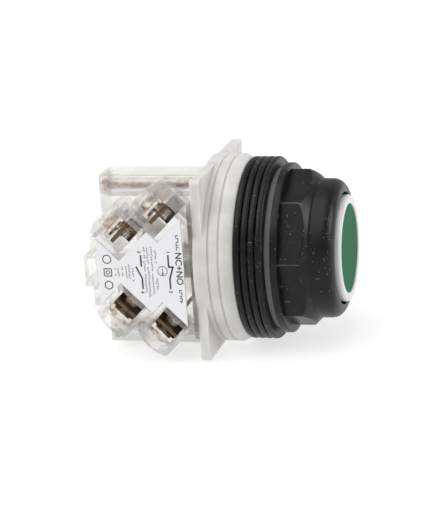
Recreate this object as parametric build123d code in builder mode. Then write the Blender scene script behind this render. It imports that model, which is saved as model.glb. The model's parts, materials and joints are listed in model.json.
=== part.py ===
"""Panel push button: a guarded operator with a two-circuit clear contact block.

Frame: X is the button's axis and points out of the panel, Z is up, and the contact
block's label faces -Y. X = 0 is the plane where the panel stack meets the operator
body. Lengths are in millimetres.
"""

import os
from math import sqrt

from build123d import *

# ---- driving dimensions: operator -------------------------------------------------
PANEL_HOLE_D = 30.5          # standard panel cut-out
NECK_CLEARANCE = 0.2         # neck to panel hole, per side
THREAD_CLEARANCE = 0.3       # neck to nut and gasket bores, per side
SLIDE_CLEARANCE = 0.3        # moving plastic parts, per side
RUNNING_CLEARANCE = 0.05     # stem in its guide, per side
FIT_GAP = 0.2                # between fixed parts that only lie side by side
TRAVEL = 5.5                 # button stroke
DRUM_R = 23.9
DRUM_DEPTH = 7.4             # drum in front of the flange
DRUM_BEVEL_LENGTH = 2.4
DRUM_BEVEL_DEPTH = 1.2
DRUM_GROOVE_WIDTH = 0.5
DRUM_GROOVE_DEPTH = 0.35
FLANGE_THICKNESS = 2.35
FLANGE_WIDTH = 44.0
FLANGE_HEIGHT = 46.4
FLANGE_CORNER_R = 1.2
DRUM_GROOVE_INSET = 1.2      # each groove, from the drum's bevel and from the flange
NECK_LENGTH = 15.0
WEB_THICKNESS = 3.0
GUIDE_LENGTH = 3.5
GUIDE_WALL = 2.15
GASKET_COUNT = 4
GASKET_R = 23.1
GASKET_THICKNESS = 1.76
GASKET_GAP = 0.04
GASKET_EDGE_R = 0.75
WASHER_R = 20.5
WASHER_THICKNESS = 1.65
WASHER_EDGE_R = 0.3
NUT_FLANGE_R = 21.5
NUT_FLANGE_THICKNESS = 1.75
NUT_CORNERS_R = 20.2         # octagon, centre to corner
NUT_SIDES = 8
NUT_TURN_ANGLE = 40.5        # how the octagon stands when tightened, degrees
NUT_FULL_LENGTH = 4.55       # octagon before its cone starts
GUARD_R = 17.5
GUARD_FRONT_X = 23.5
GUARD_BORE_GAP = 0.65
GUARD_EDGE_R = 3.0
CAP_R = 13.45
CAP_WALL = 1.45
CAP_FRONT_X = 24.7
CAP_DEPTH = 11.8
CAP_TOP_THICKNESS = 2.8
CAP_EDGE_R = 0.7
CAP_RING_WIDTH = 2.25        # white ring round the colour disc
CAP_HUB_WALL = 1.6
CAP_HUB_LIFT = 2.1           # hub's rear to the cap's rear
SPRING_SEAT_WALL = 1.0       # flange beyond the spring's coil centre
SPRING_SEAT_THICKNESS = 1.2
INSERT_THICKNESS = 1.2
INSERT_RECESS = 0.3
INSERT_EDGE_R = 0.25
INSERT_FIT = 0.02            # disc to recess, per side
STEM_R = 4.0
SPRING_WIRE_R = 0.45
SPRING_TO_GUIDE = 1.05       # coil centre to the stem guide
SPRING_TURNS = 6
SEAL_THICKNESS = 1.5
SEAL_EDGE_R = 0.3
PUSH_PLATE_THICKNESS = 2.0
PUSH_PLATE_REACH = 17.5
PUSH_PLATE_HALF_WIDTH = 3.9
PUSH_PLATE_STOP_GAP = 0.2
PUSH_PLATE_CORNER_R = 1.0
PUSH_SLOT_END_GAP = 1.5      # push plate to the ends of its slot
PUSH_SLOT_SIDE_GAP = 0.6
PUSH_SCREW_R = 1.25
PUSH_SCREW_LENGTH = 8.0
PUSH_SCREW_HEAD_R = 2.5
PUSH_SCREW_HEAD_T = 1.0
PUSH_SCREW_SLOT_W = 0.6
PUSH_SCREW_SLOT_DEPTH = 0.5
SCREW_END_GAP = 1.0          # stem screw's end to the bottom of its hole
BLOCK_SCREW_R = 1.25
BLOCK_SCREW_HEAD_R = 2.6
BLOCK_SCREW_HEAD_T = 1.6
BLOCK_SCREW_HOLE_GAP = 0.15  # screw to its hole, per side
BLOCK_SCREW_HEAD_GAP = 0.2   # head to its recess, per side
BLOCK_SCREW_SINK = 0.05      # head to the recess's floor
BLOCK_SCREW_SLOT_W = 0.7
BLOCK_SCREW_SLOT_DEPTH = 0.7
BLOCK_SCREW_END_GAP = 0.4    # screw's end to the insert's end
BLOCK_SCREW_Y = 7.3          # either side of the axis, one pair for each block position
BLOCK_SCREW_Z = 18.8
THREAD_INSERT_R = 2.2
THREAD_INSERT_LENGTH = 5.6

# ---- driving dimensions: contact block --------------------------------------------
BLOCK_REAR_X = -36.1
BLOCK_HALF_HEIGHT = 21.85
BLOCK_FAR_Y = -2.6
BLOCK_LID_Y = -12.0
LABEL_Y = -22.6
WALL = 1.2
BLOCK_EDGE_R = 1.0
FRONT_PLATE_T = 1.0
FRONT_PLATE_HALF = 17.0
COVER_FRONT_GAP = 0.1
CHAMBER_HALF_HEIGHT = 16.3
CORE_HALF_HEIGHT = 8.9
CORE_FRONT_HALF_HEIGHT = 16.0
CORE_FRONT_LENGTH = 8.0
POCKET_SIDE = 7.7
POCKET_WALL = 1.0
POCKET_FLOOR_Y = -13.6
POCKET_NOSE = 1.3            # bulge of the finger guard at a pocket's outer side
REAR_POCKET = (-28.9, 10.2)  # X and height of a terminal's centre
FRONT_POCKET = (-18.6, 15.0)
LABEL_THICKNESS = 0.4
LABEL_MARGIN = 0.35
LABEL_FIT = 0.1
BOSS_LENGTH = 2.0
BOSS_INSET = 0.3             # boss below the label's face
BOSS_HALF_HEIGHT = 4.0
BOSS_DEPTH = 9.0
CARRIER_HALF_WIDTH = 2.1
CARRIER_NEAR_Y = -18.8
CARRIER_FAR_Y = -4.2
CARRIER_TAIL_Y = -14.5
CARRIER_TAIL_X = -35.9
CARRIER_NOSE_STEP = 1.0      # nose in from the bar's far side
NOSE_END_GAP = 0.5           # nose in from the push plate's end
NOSE_CLEARANCE = 0.1
BRIDGE_Y = -7.1
BRIDGE_WIDTH = 3.0
BRIDGE_THICKNESS = 0.8
BRIDGE_HALF_LENGTH = 8.6
BRIDGE_CORNER_R = 0.6
TIP_R = 1.3
TIP_THICKNESS = 0.5
TIP_Z = 7.0
CONTACT_GAP = 0.1            # left between closed contacts, so that bodies stay apart
NC_BRIDGE_X = -15.0          # rear face of the normally closed bridge at rest
NC_BRIDGE_TRAVEL = 4.3
NO_BRIDGE_X = -27.0          # rear face of the normally open bridge at rest
NO_BRIDGE_TRAVEL = 3.5
WINDOW_SIDE_GAP = 0.4
BRIDGE_SPRING_LENGTH = 4.6
BRIDGE_SPRING_R = 1.2
FINE_WIRE_R = 0.2
BRIDGE_SPRING_TURNS = 5
CARRIER_SPRING_Y = -11.6
CARRIER_SPRING_R = 1.3
CARRIER_SPRING_BORE_R = 1.65
CARRIER_SPRING_TURNS = 9
CARRIER_SPRING_SEAT_X = -22.2
CARRIER_SHOULDER_X = -29.2
TERMINAL_SCREW_R = 1.75
TERMINAL_SCREW_LENGTH = 5.0
TERMINAL_HEAD_R = 3.0
TERMINAL_HEAD_T = 2.1
TERMINAL_HEAD_EDGE_R = 0.6
TERMINAL_HEAD_GAP = 0.02     # head to clamp
TERMINAL_HOLE_GAP = 0.4      # head to the screwdriver opening, per side
TERMINAL_SLOT_STEP = 20.0    # slot angle from one screw to the next, degrees
TERMINAL_SLOT_W = 0.9
TERMINAL_SLOT_DEPTH = 1.1
TERMINAL_DEPTH_Y = -17.9     # depth of the screw's axis
CLAMP_OPENING = 1.3          # wire gap at rest
CLAMP_SIDE_GAP = 0.65        # clamp to pocket wall, per side
CLAMP_DEPTH = 6.6
CLAMP_THICKNESS = 0.9
CLAMP_LIP = 0.6
BAR_THICKNESS = 1.0
BAR_SIDE_GAP = 0.55          # bar to pocket wall, per side
SILL_THICKNESS = 0.5
BAR_TOP_Y = -21.4
BAR_FOOT_Y = -13.9
TONGUE_WIDTH = 3.0
TONGUE_FIT = 0.2             # slot wider than the tongue
FOOT_NEAR_Y = -10.4
FOOT_FAR_Y = -9.4
FOOT_WIDTH = 3.0
FOOT_HALF_ROOT = 0.9         # half of the foot's width at the tongue
LUG_FAR_Y = -5.2
PIN_R = 1.15
PIN_INSET = 1.95
PIN_LENGTH = 1.8
PIN_HEAD = 0.3
PIN_FIT = 0.02               # pin to its hole, per side
PIN_EDGE_R = 0.27

# ---- derived places ---------------------------------------------------------------
NECK_R = PANEL_HOLE_D / 2 - NECK_CLEARANCE
NECK_BORE_R = CAP_R + SLIDE_CLEARANCE
FITTED_BORE_R = NECK_R + THREAD_CLEARANCE
FLANGE_FRONT_X = -DRUM_DEPTH
FLANGE_REAR_X = FLANGE_FRONT_X - FLANGE_THICKNESS
WEB_REAR_X = -WEB_THICKNESS / 2
WEB_FRONT_X = WEB_THICKNESS / 2
GUIDE_BORE_R = STEM_R + RUNNING_CLEARANCE
GUIDE_FRONT_X = WEB_FRONT_X + GUIDE_LENGTH
GUIDE_R = STEM_R + GUIDE_WALL
SPRING_COIL_R = GUIDE_R + SPRING_TO_GUIDE
GASKET_PITCH = GASKET_THICKNESS + GASKET_GAP
WASHER_REAR_X = GASKET_COUNT * GASKET_PITCH
NUT_REAR_X = WASHER_REAR_X + WASHER_THICKNESS
OCTAGON_REAR_X = NUT_REAR_X + NUT_FLANGE_THICKNESS
CONE_REAR_X = OCTAGON_REAR_X + NUT_FULL_LENGTH
CONE_FRONT_X = CONE_REAR_X + NUT_CORNERS_R - GUARD_R
CAP_SEAL_FRONT_X = NECK_LENGTH + SEAL_THICKNESS * 0.8
GUARD_BORE_R = CAP_R + GUARD_BORE_GAP
CAP_REAR_X = CAP_FRONT_X - CAP_DEPTH
CAP_UNDERSIDE_X = CAP_FRONT_X - CAP_TOP_THICKNESS
INSERT_R = CAP_R - CAP_RING_WIDTH
INSERT_FRONT_X = CAP_FRONT_X - INSERT_RECESS
INSERT_REAR_X = INSERT_FRONT_X - INSERT_THICKNESS
HUB_REAR_X = CAP_REAR_X + CAP_HUB_LIFT
SPRING_SEAT_R = SPRING_COIL_R + SPRING_SEAT_WALL
SPRING_SEAT_FRONT_X = HUB_REAR_X + SPRING_SEAT_THICKNESS
PUSH_SLOT_HALF_WIDTH = PUSH_PLATE_HALF_WIDTH + PUSH_SLOT_SIDE_GAP
PUSH_PLATE_FRONT_X = WEB_REAR_X - PUSH_PLATE_STOP_GAP
PUSH_PLATE_REAR_X = PUSH_PLATE_FRONT_X - PUSH_PLATE_THICKNESS
CARRIER_NOSE_X = PUSH_PLATE_REAR_X - NOSE_CLEARANCE
FRONT_PLATE_FRONT_X = FLANGE_REAR_X
FRONT_PLATE_REAR_X = FRONT_PLATE_FRONT_X - FRONT_PLATE_T
COVER_FRONT_X = FRONT_PLATE_REAR_X - COVER_FRONT_GAP
LID_INNER_Y = BLOCK_LID_Y + WALL
CHAMBER_FAR_Y = BLOCK_FAR_Y - WALL
CHAMBER_REAR_X = BLOCK_REAR_X + WALL
POCKET_OUTER = POCKET_SIDE + 2 * POCKET_WALL
CLAMP_WIDTH = POCKET_SIDE - 2 * CLAMP_SIDE_GAP
BAR_WIDTH = POCKET_SIDE - 2 * BAR_SIDE_GAP
SILL_LENGTH = POCKET_SIDE / 2 - BAR_THICKNESS - FIT_GAP
CHANNEL_HALF = CARRIER_HALF_WIDTH + SLIDE_CLEARANCE
CHANNEL_NEAR_Y = CARRIER_NEAR_Y - SLIDE_CLEARANCE
S = 1 / sqrt(2)

os.makedirs("parts", exist_ok=True)


def save(part, node):
    """Label a finished piece and write its STEP file."""
    part.label = node
    export_step(part, f"parts/{node}.step")


def turned_face(points):
    """Closed half-section through (x, radius) points, to be revolved about X."""
    with BuildSketch(Plane.XY) as section:
        with BuildLine():
            Polyline(*points, close=True)
        make_face()
    return section.sketch


def bar(x_range, y_range, z_range, mode=Mode.ADD):
    """Box between two corners, added to or cut from the open part."""
    size = [high - low for low, high in (x_range, y_range, z_range)]
    centre = [(low + high) / 2 for low, high in (x_range, y_range, z_range)]
    with Locations(tuple(centre)):
        Box(*size, mode=mode)


def coil(start_x, length, coil_r, wire_r, turns, y=0.0):
    """Helical spring along X, its ends clear of its seats by the wire's radius."""
    free = length - 2 * wire_r
    with BuildPart() as spring:
        with BuildLine() as path:
            Helix(
                pitch=free / turns,
                height=free,
                radius=coil_r,
                center=(start_x + wire_r, y, 0),
                direction=(1, 0, 0),
            )
        with BuildSketch(Plane(origin=path.line @ 0, z_dir=path.line % 0)):
            Circle(wire_r)
        sweep(is_frenet=True)
    return spring.part


# ======================================================================== operator
# Body: drum, square flange at its rear, threaded neck and stem guide in one moulding.
with BuildPart() as operator_body:
    body_section = turned_face(
        [
            (FLANGE_REAR_X, 0),
            (FLANGE_REAR_X, DRUM_R),
            (-DRUM_BEVEL_LENGTH, DRUM_R),
            (0, DRUM_R - DRUM_BEVEL_DEPTH),
            (0, NECK_R),
            (NECK_LENGTH, NECK_R),
            (NECK_LENGTH, NECK_BORE_R),
            (WEB_FRONT_X, NECK_BORE_R),
            (WEB_FRONT_X, GUIDE_R),
            (GUIDE_FRONT_X, GUIDE_R),
            (GUIDE_FRONT_X, 0),
        ]
    )
    revolve(body_section, axis=Axis.X)
    with BuildSketch(Plane.YZ.offset(FLANGE_REAR_X)):
        RectangleRounded(FLANGE_WIDTH, FLANGE_HEIGHT, FLANGE_CORNER_R)
    extrude(amount=FLANGE_THICKNESS)
    # Two shallow mould steps round the drum.
    groove_starts = (
        -DRUM_BEVEL_LENGTH - DRUM_GROOVE_INSET,
        FLANGE_FRONT_X + DRUM_GROOVE_INSET,
    )
    for step_x in groove_starts:
        groove_end_x = step_x + DRUM_GROOVE_WIDTH
        groove = turned_face(
            [
                (step_x, DRUM_R - DRUM_GROOVE_DEPTH),
                (step_x, DRUM_R + 1),
                (groove_end_x, DRUM_R + 1),
                (groove_end_x, DRUM_R - DRUM_GROOVE_DEPTH),
            ]
        )
        revolve(groove, axis=Axis.X, mode=Mode.SUBTRACT)
    # Slot for the push plate, open at the rear to both block positions.
    bar(
        (FLANGE_REAR_X, WEB_REAR_X),
        (-PUSH_PLATE_REACH - PUSH_SLOT_END_GAP, PUSH_PLATE_REACH + PUSH_SLOT_END_GAP),
        (-PUSH_SLOT_HALF_WIDTH, PUSH_SLOT_HALF_WIDTH),
        mode=Mode.SUBTRACT,
    )
    with BuildSketch(Plane.YZ.offset(FLANGE_REAR_X)):
        Circle(GUIDE_BORE_R)
    extrude(amount=GUIDE_FRONT_X - FLANGE_REAR_X, mode=Mode.SUBTRACT)
    # Sockets for the four threaded inserts.
    with BuildSketch(Plane.YZ.offset(FLANGE_REAR_X)):
        with GridLocations(2 * BLOCK_SCREW_Y, 2 * BLOCK_SCREW_Z, 2, 2):
            Circle(THREAD_INSERT_R)
    extrude(amount=THREAD_INSERT_LENGTH, mode=Mode.SUBTRACT)
save(operator_body.part, "operator_body")

with BuildPart() as threaded_inserts:
    with BuildSketch(Plane.YZ.offset(FLANGE_REAR_X)):
        with GridLocations(2 * BLOCK_SCREW_Y, 2 * BLOCK_SCREW_Z, 2, 2):
            Circle(THREAD_INSERT_R)
            Circle(BLOCK_SCREW_R + RUNNING_CLEARANCE, mode=Mode.SUBTRACT)
    extrude(amount=THREAD_INSERT_LENGTH)
save(threaded_inserts.part, "threaded_inserts")

# Rubber gaskets round the neck, each with rounded rims.
for number in range(GASKET_COUNT):
    with BuildPart() as panel_gasket:
        with BuildSketch(Plane.YZ.offset(number * GASKET_PITCH + GASKET_GAP / 2)):
            Circle(GASKET_R)
            Circle(FITTED_BORE_R, mode=Mode.SUBTRACT)
        extrude(amount=GASKET_THICKNESS)
        rims = panel_gasket.edges().filter_by(GeomType.CIRCLE)
        fillet(rims.filter_by(lambda rim: rim.radius > FITTED_BORE_R + 1), GASKET_EDGE_R)
    save(panel_gasket.part, f"panel_gasket_{number + 1}")

with BuildPart() as thrust_washer:
    with BuildSketch(Plane.YZ.offset(WASHER_REAR_X)):
        Circle(WASHER_R)
        Circle(FITTED_BORE_R, mode=Mode.SUBTRACT)
    extrude(amount=WASHER_THICKNESS)
    washer_rims = thrust_washer.edges().filter_by(GeomType.CIRCLE)
    outer_rims = washer_rims.filter_by(lambda rim: rim.radius > FITTED_BORE_R + 1)
    fillet(outer_rims, WASHER_EDGE_R)
save(thrust_washer.part, "thrust_washer")

# Ring nut: flange, octagon and guard in one piece. A cone trims the octagon's corners.
with BuildPart() as ring_nut:
    with BuildSketch(Plane.YZ.offset(NUT_REAR_X)):
        Circle(NUT_FLANGE_R)
    extrude(amount=NUT_FLANGE_THICKNESS)
    with BuildSketch(Plane.YZ.offset(OCTAGON_REAR_X)):
        RegularPolygon(NUT_CORNERS_R, NUT_SIDES, rotation=NUT_TURN_ANGLE)
    extrude(amount=CONE_FRONT_X - OCTAGON_REAR_X)
    corner_cone = turned_face(
        [
            (CONE_REAR_X, NUT_CORNERS_R),
            (CONE_REAR_X, NUT_CORNERS_R + 2),
            (CONE_FRONT_X + 1, NUT_CORNERS_R + 2),
            (CONE_FRONT_X + 1, GUARD_R - 1),
            (CONE_FRONT_X, GUARD_R),
        ]
    )
    revolve(corner_cone, axis=Axis.X, mode=Mode.SUBTRACT)
    with BuildSketch(Plane.YZ.offset(OCTAGON_REAR_X)):
        Circle(GUARD_R)
    extrude(amount=GUARD_FRONT_X - OCTAGON_REAR_X)
    front_rim = ring_nut.faces().sort_by(Axis.X)[-1].edges()
    fillet(front_rim, GUARD_EDGE_R)
    with BuildSketch(Plane.YZ.offset(NUT_REAR_X)):
        Circle(FITTED_BORE_R)
    extrude(amount=CAP_SEAL_FRONT_X - NUT_REAR_X, mode=Mode.SUBTRACT)
    with BuildSketch(Plane.YZ.offset(NUT_REAR_X)):
        Circle(GUARD_BORE_R)
    extrude(amount=GUARD_FRONT_X - NUT_REAR_X, mode=Mode.SUBTRACT)
save(ring_nut.part, "ring_nut")

with BuildPart() as cap_seal:
    with BuildSketch(Plane.YZ.offset(NECK_LENGTH)):
        Circle(NECK_R)
        Circle(CAP_R + RUNNING_CLEARANCE, mode=Mode.SUBTRACT)
    extrude(amount=CAP_SEAL_FRONT_X - NECK_LENGTH)
save(cap_seal.part, "cap_seal")

# Cap: a cup with a recess for the colour disc and a hub for the stem and spring.
with BuildPart() as button_cap:
    cap_section = turned_face(
        [
            (CAP_REAR_X, CAP_R - CAP_WALL),
            (CAP_REAR_X, CAP_R),
            (CAP_FRONT_X, CAP_R),
            (CAP_FRONT_X, INSERT_R),
            (INSERT_REAR_X, INSERT_R),
            (INSERT_REAR_X, 0),
            (CAP_UNDERSIDE_X, 0),
            (CAP_UNDERSIDE_X, STEM_R),
            (HUB_REAR_X, STEM_R),
            (HUB_REAR_X, SPRING_SEAT_R),
            (SPRING_SEAT_FRONT_X, SPRING_SEAT_R),
            (SPRING_SEAT_FRONT_X, STEM_R + CAP_HUB_WALL),
            (CAP_UNDERSIDE_X, STEM_R + CAP_HUB_WALL),
            (CAP_UNDERSIDE_X, CAP_R - CAP_WALL),
        ]
    )
    revolve(cap_section, axis=Axis.X)
    cap_rim = button_cap.edges().filter_by(GeomType.CIRCLE).sort_by(Axis.X)[-2:]
    fillet(cap_rim.sort_by(SortBy.RADIUS)[-1], CAP_EDGE_R)
save(button_cap.part, "button_cap")

with BuildPart() as color_insert:
    with BuildSketch(Plane.YZ.offset(INSERT_REAR_X)):
        Circle(INSERT_R - INSERT_FIT)
    extrude(amount=INSERT_THICKNESS)
    fillet(color_insert.faces().sort_by(Axis.X)[-1].edges(), INSERT_EDGE_R)
save(color_insert.part, "color_insert")

with BuildPart() as button_stem:
    with BuildSketch(Plane.YZ.offset(PUSH_PLATE_FRONT_X)):
        Circle(STEM_R)
    extrude(amount=CAP_UNDERSIDE_X - PUSH_PLATE_FRONT_X)
    with BuildSketch(Plane.YZ.offset(PUSH_PLATE_FRONT_X)):
        Circle(PUSH_SCREW_R)
    extrude(amount=PUSH_SCREW_LENGTH, mode=Mode.SUBTRACT)
save(button_stem.part, "button_stem")

with BuildPart() as push_plate:
    with BuildSketch(Plane.YZ.offset(PUSH_PLATE_REAR_X)):
        RectangleRounded(
            2 * PUSH_PLATE_REACH, 2 * PUSH_PLATE_HALF_WIDTH, PUSH_PLATE_CORNER_R
        )
        Circle(PUSH_SCREW_R, mode=Mode.SUBTRACT)
    extrude(amount=PUSH_PLATE_THICKNESS)
    with BuildSketch(Plane.YZ.offset(PUSH_PLATE_REAR_X)):
        Circle(PUSH_SCREW_HEAD_R)
    extrude(amount=PUSH_SCREW_HEAD_T, mode=Mode.SUBTRACT)
save(push_plate.part, "push_plate")

with BuildPart() as push_plate_screw:
    with BuildSketch(Plane.YZ.offset(PUSH_PLATE_REAR_X)):
        Circle(PUSH_SCREW_HEAD_R)
    extrude(amount=PUSH_SCREW_HEAD_T)
    with BuildSketch(Plane.YZ.offset(PUSH_PLATE_REAR_X)):
        Circle(PUSH_SCREW_R)
    extrude(amount=PUSH_PLATE_THICKNESS + PUSH_SCREW_LENGTH - SCREW_END_GAP)
    bar(
        (PUSH_PLATE_REAR_X, PUSH_PLATE_REAR_X + PUSH_SCREW_SLOT_DEPTH),
        (-PUSH_SCREW_HEAD_R, PUSH_SCREW_HEAD_R),
        (-PUSH_SCREW_SLOT_W / 2, PUSH_SCREW_SLOT_W / 2),
        mode=Mode.SUBTRACT,
    )
save(push_plate_screw.part, "push_plate_screw")

with BuildPart() as stem_seal:
    with BuildSketch(Plane.YZ.offset(GUIDE_FRONT_X)):
        Circle(GUIDE_R)
        Circle(GUIDE_BORE_R, mode=Mode.SUBTRACT)
    extrude(amount=SEAL_THICKNESS)
    fillet(stem_seal.faces().sort_by(Axis.X)[-1].edges(), SEAL_EDGE_R)
save(stem_seal.part, "stem_seal")

return_spring = coil(
    WEB_FRONT_X, HUB_REAR_X - WEB_FRONT_X, SPRING_COIL_R, SPRING_WIRE_R, SPRING_TURNS
)
save(return_spring, "return_spring")

# =================================================================== contact block
POCKETS = {
    1: (FRONT_POCKET, 1),
    2: (FRONT_POCKET, -1),
    3: (REAR_POCKET, 1),
    4: (REAR_POCKET, -1),
}


def pocket_centre(number, y):
    """Centre of a terminal pocket at depth y."""
    (x, height), side = POCKETS[number]
    return (x, y, side * height)


def outward(number):
    """Unit vector along a terminal's screw, from its bar to its head."""
    return (-S, 0, S * POCKETS[number][1])


def across_plane(number, y):
    """Plane across a pocket at depth y: local X is outward, normal is -Y."""
    return Plane(origin=pocket_centre(number, y), x_dir=outward(number), z_dir=(0, -1, 0))


def screw_plane(number, distance):
    """Plane across a terminal's screw axis: normal is outward, local X is -Y."""
    centre = pocket_centre(number, TERMINAL_DEPTH_Y)
    origin = [c + distance * u for c, u in zip(centre, outward(number))]
    return Plane(origin=tuple(origin), x_dir=(0, -1, 0), z_dir=outward(number))


def moved(number, distance):
    """X and Z of a point on a pocket's outward line, from its centre."""
    (x, height), side = POCKETS[number]
    return (x - distance * S, side * (height + distance * S))


# Base: tray under the lid, with screw columns, and the plate that meets the operator.
with BuildPart() as block_base:
    bar(
        (BLOCK_REAR_X, FRONT_PLATE_REAR_X),
        (LID_INNER_Y, BLOCK_FAR_Y),
        (-BLOCK_HALF_HEIGHT, BLOCK_HALF_HEIGHT),
    )
    long_edges = block_base.edges().filter_by(Axis.Z).group_by(Axis.X)[0]
    fillet(long_edges.sort_by(Axis.Y)[-1], BLOCK_EDGE_R)
    bar(
        (CHAMBER_REAR_X, FRONT_PLATE_REAR_X - WALL),
        (LID_INNER_Y, CHAMBER_FAR_Y),
        (-CHAMBER_HALF_HEIGHT, CHAMBER_HALF_HEIGHT),
        mode=Mode.SUBTRACT,
    )
    bar(
        (FRONT_PLATE_REAR_X, FRONT_PLATE_FRONT_X),
        (BLOCK_LID_Y, BLOCK_FAR_Y),
        (-BLOCK_HALF_HEIGHT, BLOCK_HALF_HEIGHT),
    )
    bar(
        (FRONT_PLATE_REAR_X, FRONT_PLATE_FRONT_X),
        (LABEL_Y, BLOCK_LID_Y),
        (-FRONT_PLATE_HALF, FRONT_PLATE_HALF),
    )
    # Window for the carrier's nose.
    bar(
        (FRONT_PLATE_REAR_X - WALL, FRONT_PLATE_FRONT_X),
        (CHANNEL_NEAR_Y, CHAMBER_FAR_Y),
        (-CHANNEL_HALF, CHANNEL_HALF),
        mode=Mode.SUBTRACT,
    )
    # Screw holes along X, with recesses for the heads.
    for side in (-1, 1):
        with BuildSketch(Plane.YZ.offset(BLOCK_REAR_X)):
            with Locations((-BLOCK_SCREW_Y, side * BLOCK_SCREW_Z)):
                Circle(BLOCK_SCREW_R + BLOCK_SCREW_HOLE_GAP)
        extrude(amount=FRONT_PLATE_FRONT_X - BLOCK_REAR_X, mode=Mode.SUBTRACT)
        with BuildSketch(Plane.YZ.offset(BLOCK_REAR_X)):
            with Locations((-BLOCK_SCREW_Y, side * BLOCK_SCREW_Z)):
                Circle(BLOCK_SCREW_HEAD_R + BLOCK_SCREW_HEAD_GAP)
        extrude(amount=BLOCK_SCREW_HEAD_T, mode=Mode.SUBTRACT)
    PIN_PLACES = [
        (pin_x, side * (BLOCK_HALF_HEIGHT - PIN_INSET))
        for pin_x in (BLOCK_REAR_X + PIN_INSET, FRONT_PLATE_REAR_X - PIN_INSET)
        for side in (-1, 1)
    ]
    with BuildSketch(Plane.XZ.offset(-LID_INNER_Y)):
        with Locations(*PIN_PLACES):
            Circle(PIN_R)
    extrude(amount=-(PIN_LENGTH - WALL), mode=Mode.SUBTRACT)
save(block_base.part, "block_base")


def label_outline(inset):
    """Hourglass between the pockets; its corners follow the pocket walls."""
    reach = POCKET_OUTER / 2 * sqrt(2) + inset * sqrt(2)
    rear_x, rear_z = REAR_POCKET
    front_x, front_z = FRONT_POCKET
    left = BLOCK_REAR_X + WALL + inset
    right = COVER_FRONT_X - WALL - inset
    waist_rear = rear_z - reach
    waist_front = front_z - reach
    # The rear and the front pocket's lower walls cross between their centres.
    cross_x = (rear_x + front_x + (waist_front - waist_rear)) / 2
    upper = [
        (left, waist_rear + rear_x - left),
        (rear_x, waist_rear),
        (cross_x, waist_rear + cross_x - rear_x),
        (front_x, waist_front),
        (right, waist_front + right - front_x),
    ]
    lower = [(x, -z) for x, z in reversed(upper)]
    return upper + lower


# Cover: lid plate, raised core with four terminal pockets, and the rear guide boss.
with BuildPart() as block_cover:
    bar(
        (BLOCK_REAR_X, COVER_FRONT_X),
        (BLOCK_LID_Y, LID_INNER_Y),
        (-BLOCK_HALF_HEIGHT, BLOCK_HALF_HEIGHT),
    )
    bar(
        (BLOCK_REAR_X, COVER_FRONT_X),
        (LABEL_Y, BLOCK_LID_Y),
        (-CORE_HALF_HEIGHT, CORE_HALF_HEIGHT),
    )
    bar(
        (COVER_FRONT_X - CORE_FRONT_LENGTH, COVER_FRONT_X),
        (LABEL_Y, BLOCK_LID_Y),
        (-CORE_FRONT_HALF_HEIGHT, CORE_FRONT_HALF_HEIGHT),
    )
    for number in POCKETS:
        half = POCKET_OUTER / 2
        with BuildSketch(across_plane(number, BLOCK_LID_Y)):
            with BuildLine():
                Polyline((half, -half), (-half, -half), (-half, half), (half, half))
                ThreePointArc((half, half), (half + POCKET_NOSE, 0), (half, -half))
            make_face()
        extrude(amount=BLOCK_LID_Y - LABEL_Y)
    bar(
        (BLOCK_REAR_X - BOSS_LENGTH, BLOCK_REAR_X),
        (LABEL_Y + BOSS_INSET, LABEL_Y + BOSS_DEPTH),
        (-BOSS_HALF_HEIGHT, BOSS_HALF_HEIGHT),
    )
    for number in POCKETS:
        with BuildSketch(across_plane(number, POCKET_FLOOR_Y)):
            Rectangle(POCKET_SIDE, POCKET_SIDE)
        extrude(amount=POCKET_FLOOR_Y - LABEL_Y, mode=Mode.SUBTRACT)
        # Screwdriver opening in the outer wall.
        with BuildSketch(screw_plane(number, 0)):
            Circle(TERMINAL_HEAD_R + TERMINAL_HOLE_GAP)
        extrude(amount=POCKET_OUTER / 2 + 2 * POCKET_NOSE, mode=Mode.SUBTRACT)
        # Slot in the pocket's floor for the contact bar's tongue.
        with BuildSketch(across_plane(number, LID_INNER_Y)):
            with Locations((-BAR_THICKNESS / 2, 0)):
                Rectangle(BAR_THICKNESS + TONGUE_FIT, TONGUE_WIDTH + TONGUE_FIT)
        extrude(amount=LID_INNER_Y - POCKET_FLOOR_Y, mode=Mode.SUBTRACT)
    # Channel for the carrier, and its way out through the boss.
    bar(
        (BLOCK_REAR_X + WALL, COVER_FRONT_X),
        (CHANNEL_NEAR_Y, LID_INNER_Y),
        (-CHANNEL_HALF, CHANNEL_HALF),
        mode=Mode.SUBTRACT,
    )
    bar(
        (BLOCK_REAR_X - BOSS_LENGTH, BLOCK_REAR_X + WALL),
        (CHANNEL_NEAR_Y, CARRIER_TAIL_Y + SLIDE_CLEARANCE),
        (-CHANNEL_HALF, CHANNEL_HALF),
        mode=Mode.SUBTRACT,
    )
    with BuildSketch(Plane.XZ.offset(-LID_INNER_Y)):
        with Locations(*PIN_PLACES):
            Circle(PIN_R)
    extrude(amount=WALL, mode=Mode.SUBTRACT)
    # Shallow recess for the label plate.
    with BuildSketch(Plane.XZ.offset(-LABEL_Y - LABEL_THICKNESS)):
        with BuildLine():
            Polyline(*label_outline(LABEL_MARGIN - LABEL_FIT), close=True)
        make_face()
    extrude(amount=LABEL_THICKNESS, mode=Mode.SUBTRACT)
save(block_cover.part, "block_cover")

with BuildPart() as label_plate:
    with BuildSketch(Plane.XZ.offset(-LABEL_Y - LABEL_THICKNESS)):
        with BuildLine():
            Polyline(*label_outline(LABEL_MARGIN), close=True)
        make_face()
    extrude(amount=LABEL_THICKNESS)
save(label_plate.part, "label_plate")

with BuildPart() as cover_pins:
    with BuildSketch(Plane.XZ.offset(-BLOCK_LID_Y - PIN_LENGTH)):
        with Locations(*PIN_PLACES):
            Circle(PIN_R - PIN_FIT)
    extrude(amount=PIN_LENGTH + PIN_HEAD)
    fillet(cover_pins.faces().group_by(Axis.Y)[0].edges(), PIN_EDGE_R)
save(cover_pins.part, "cover_pins")

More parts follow.
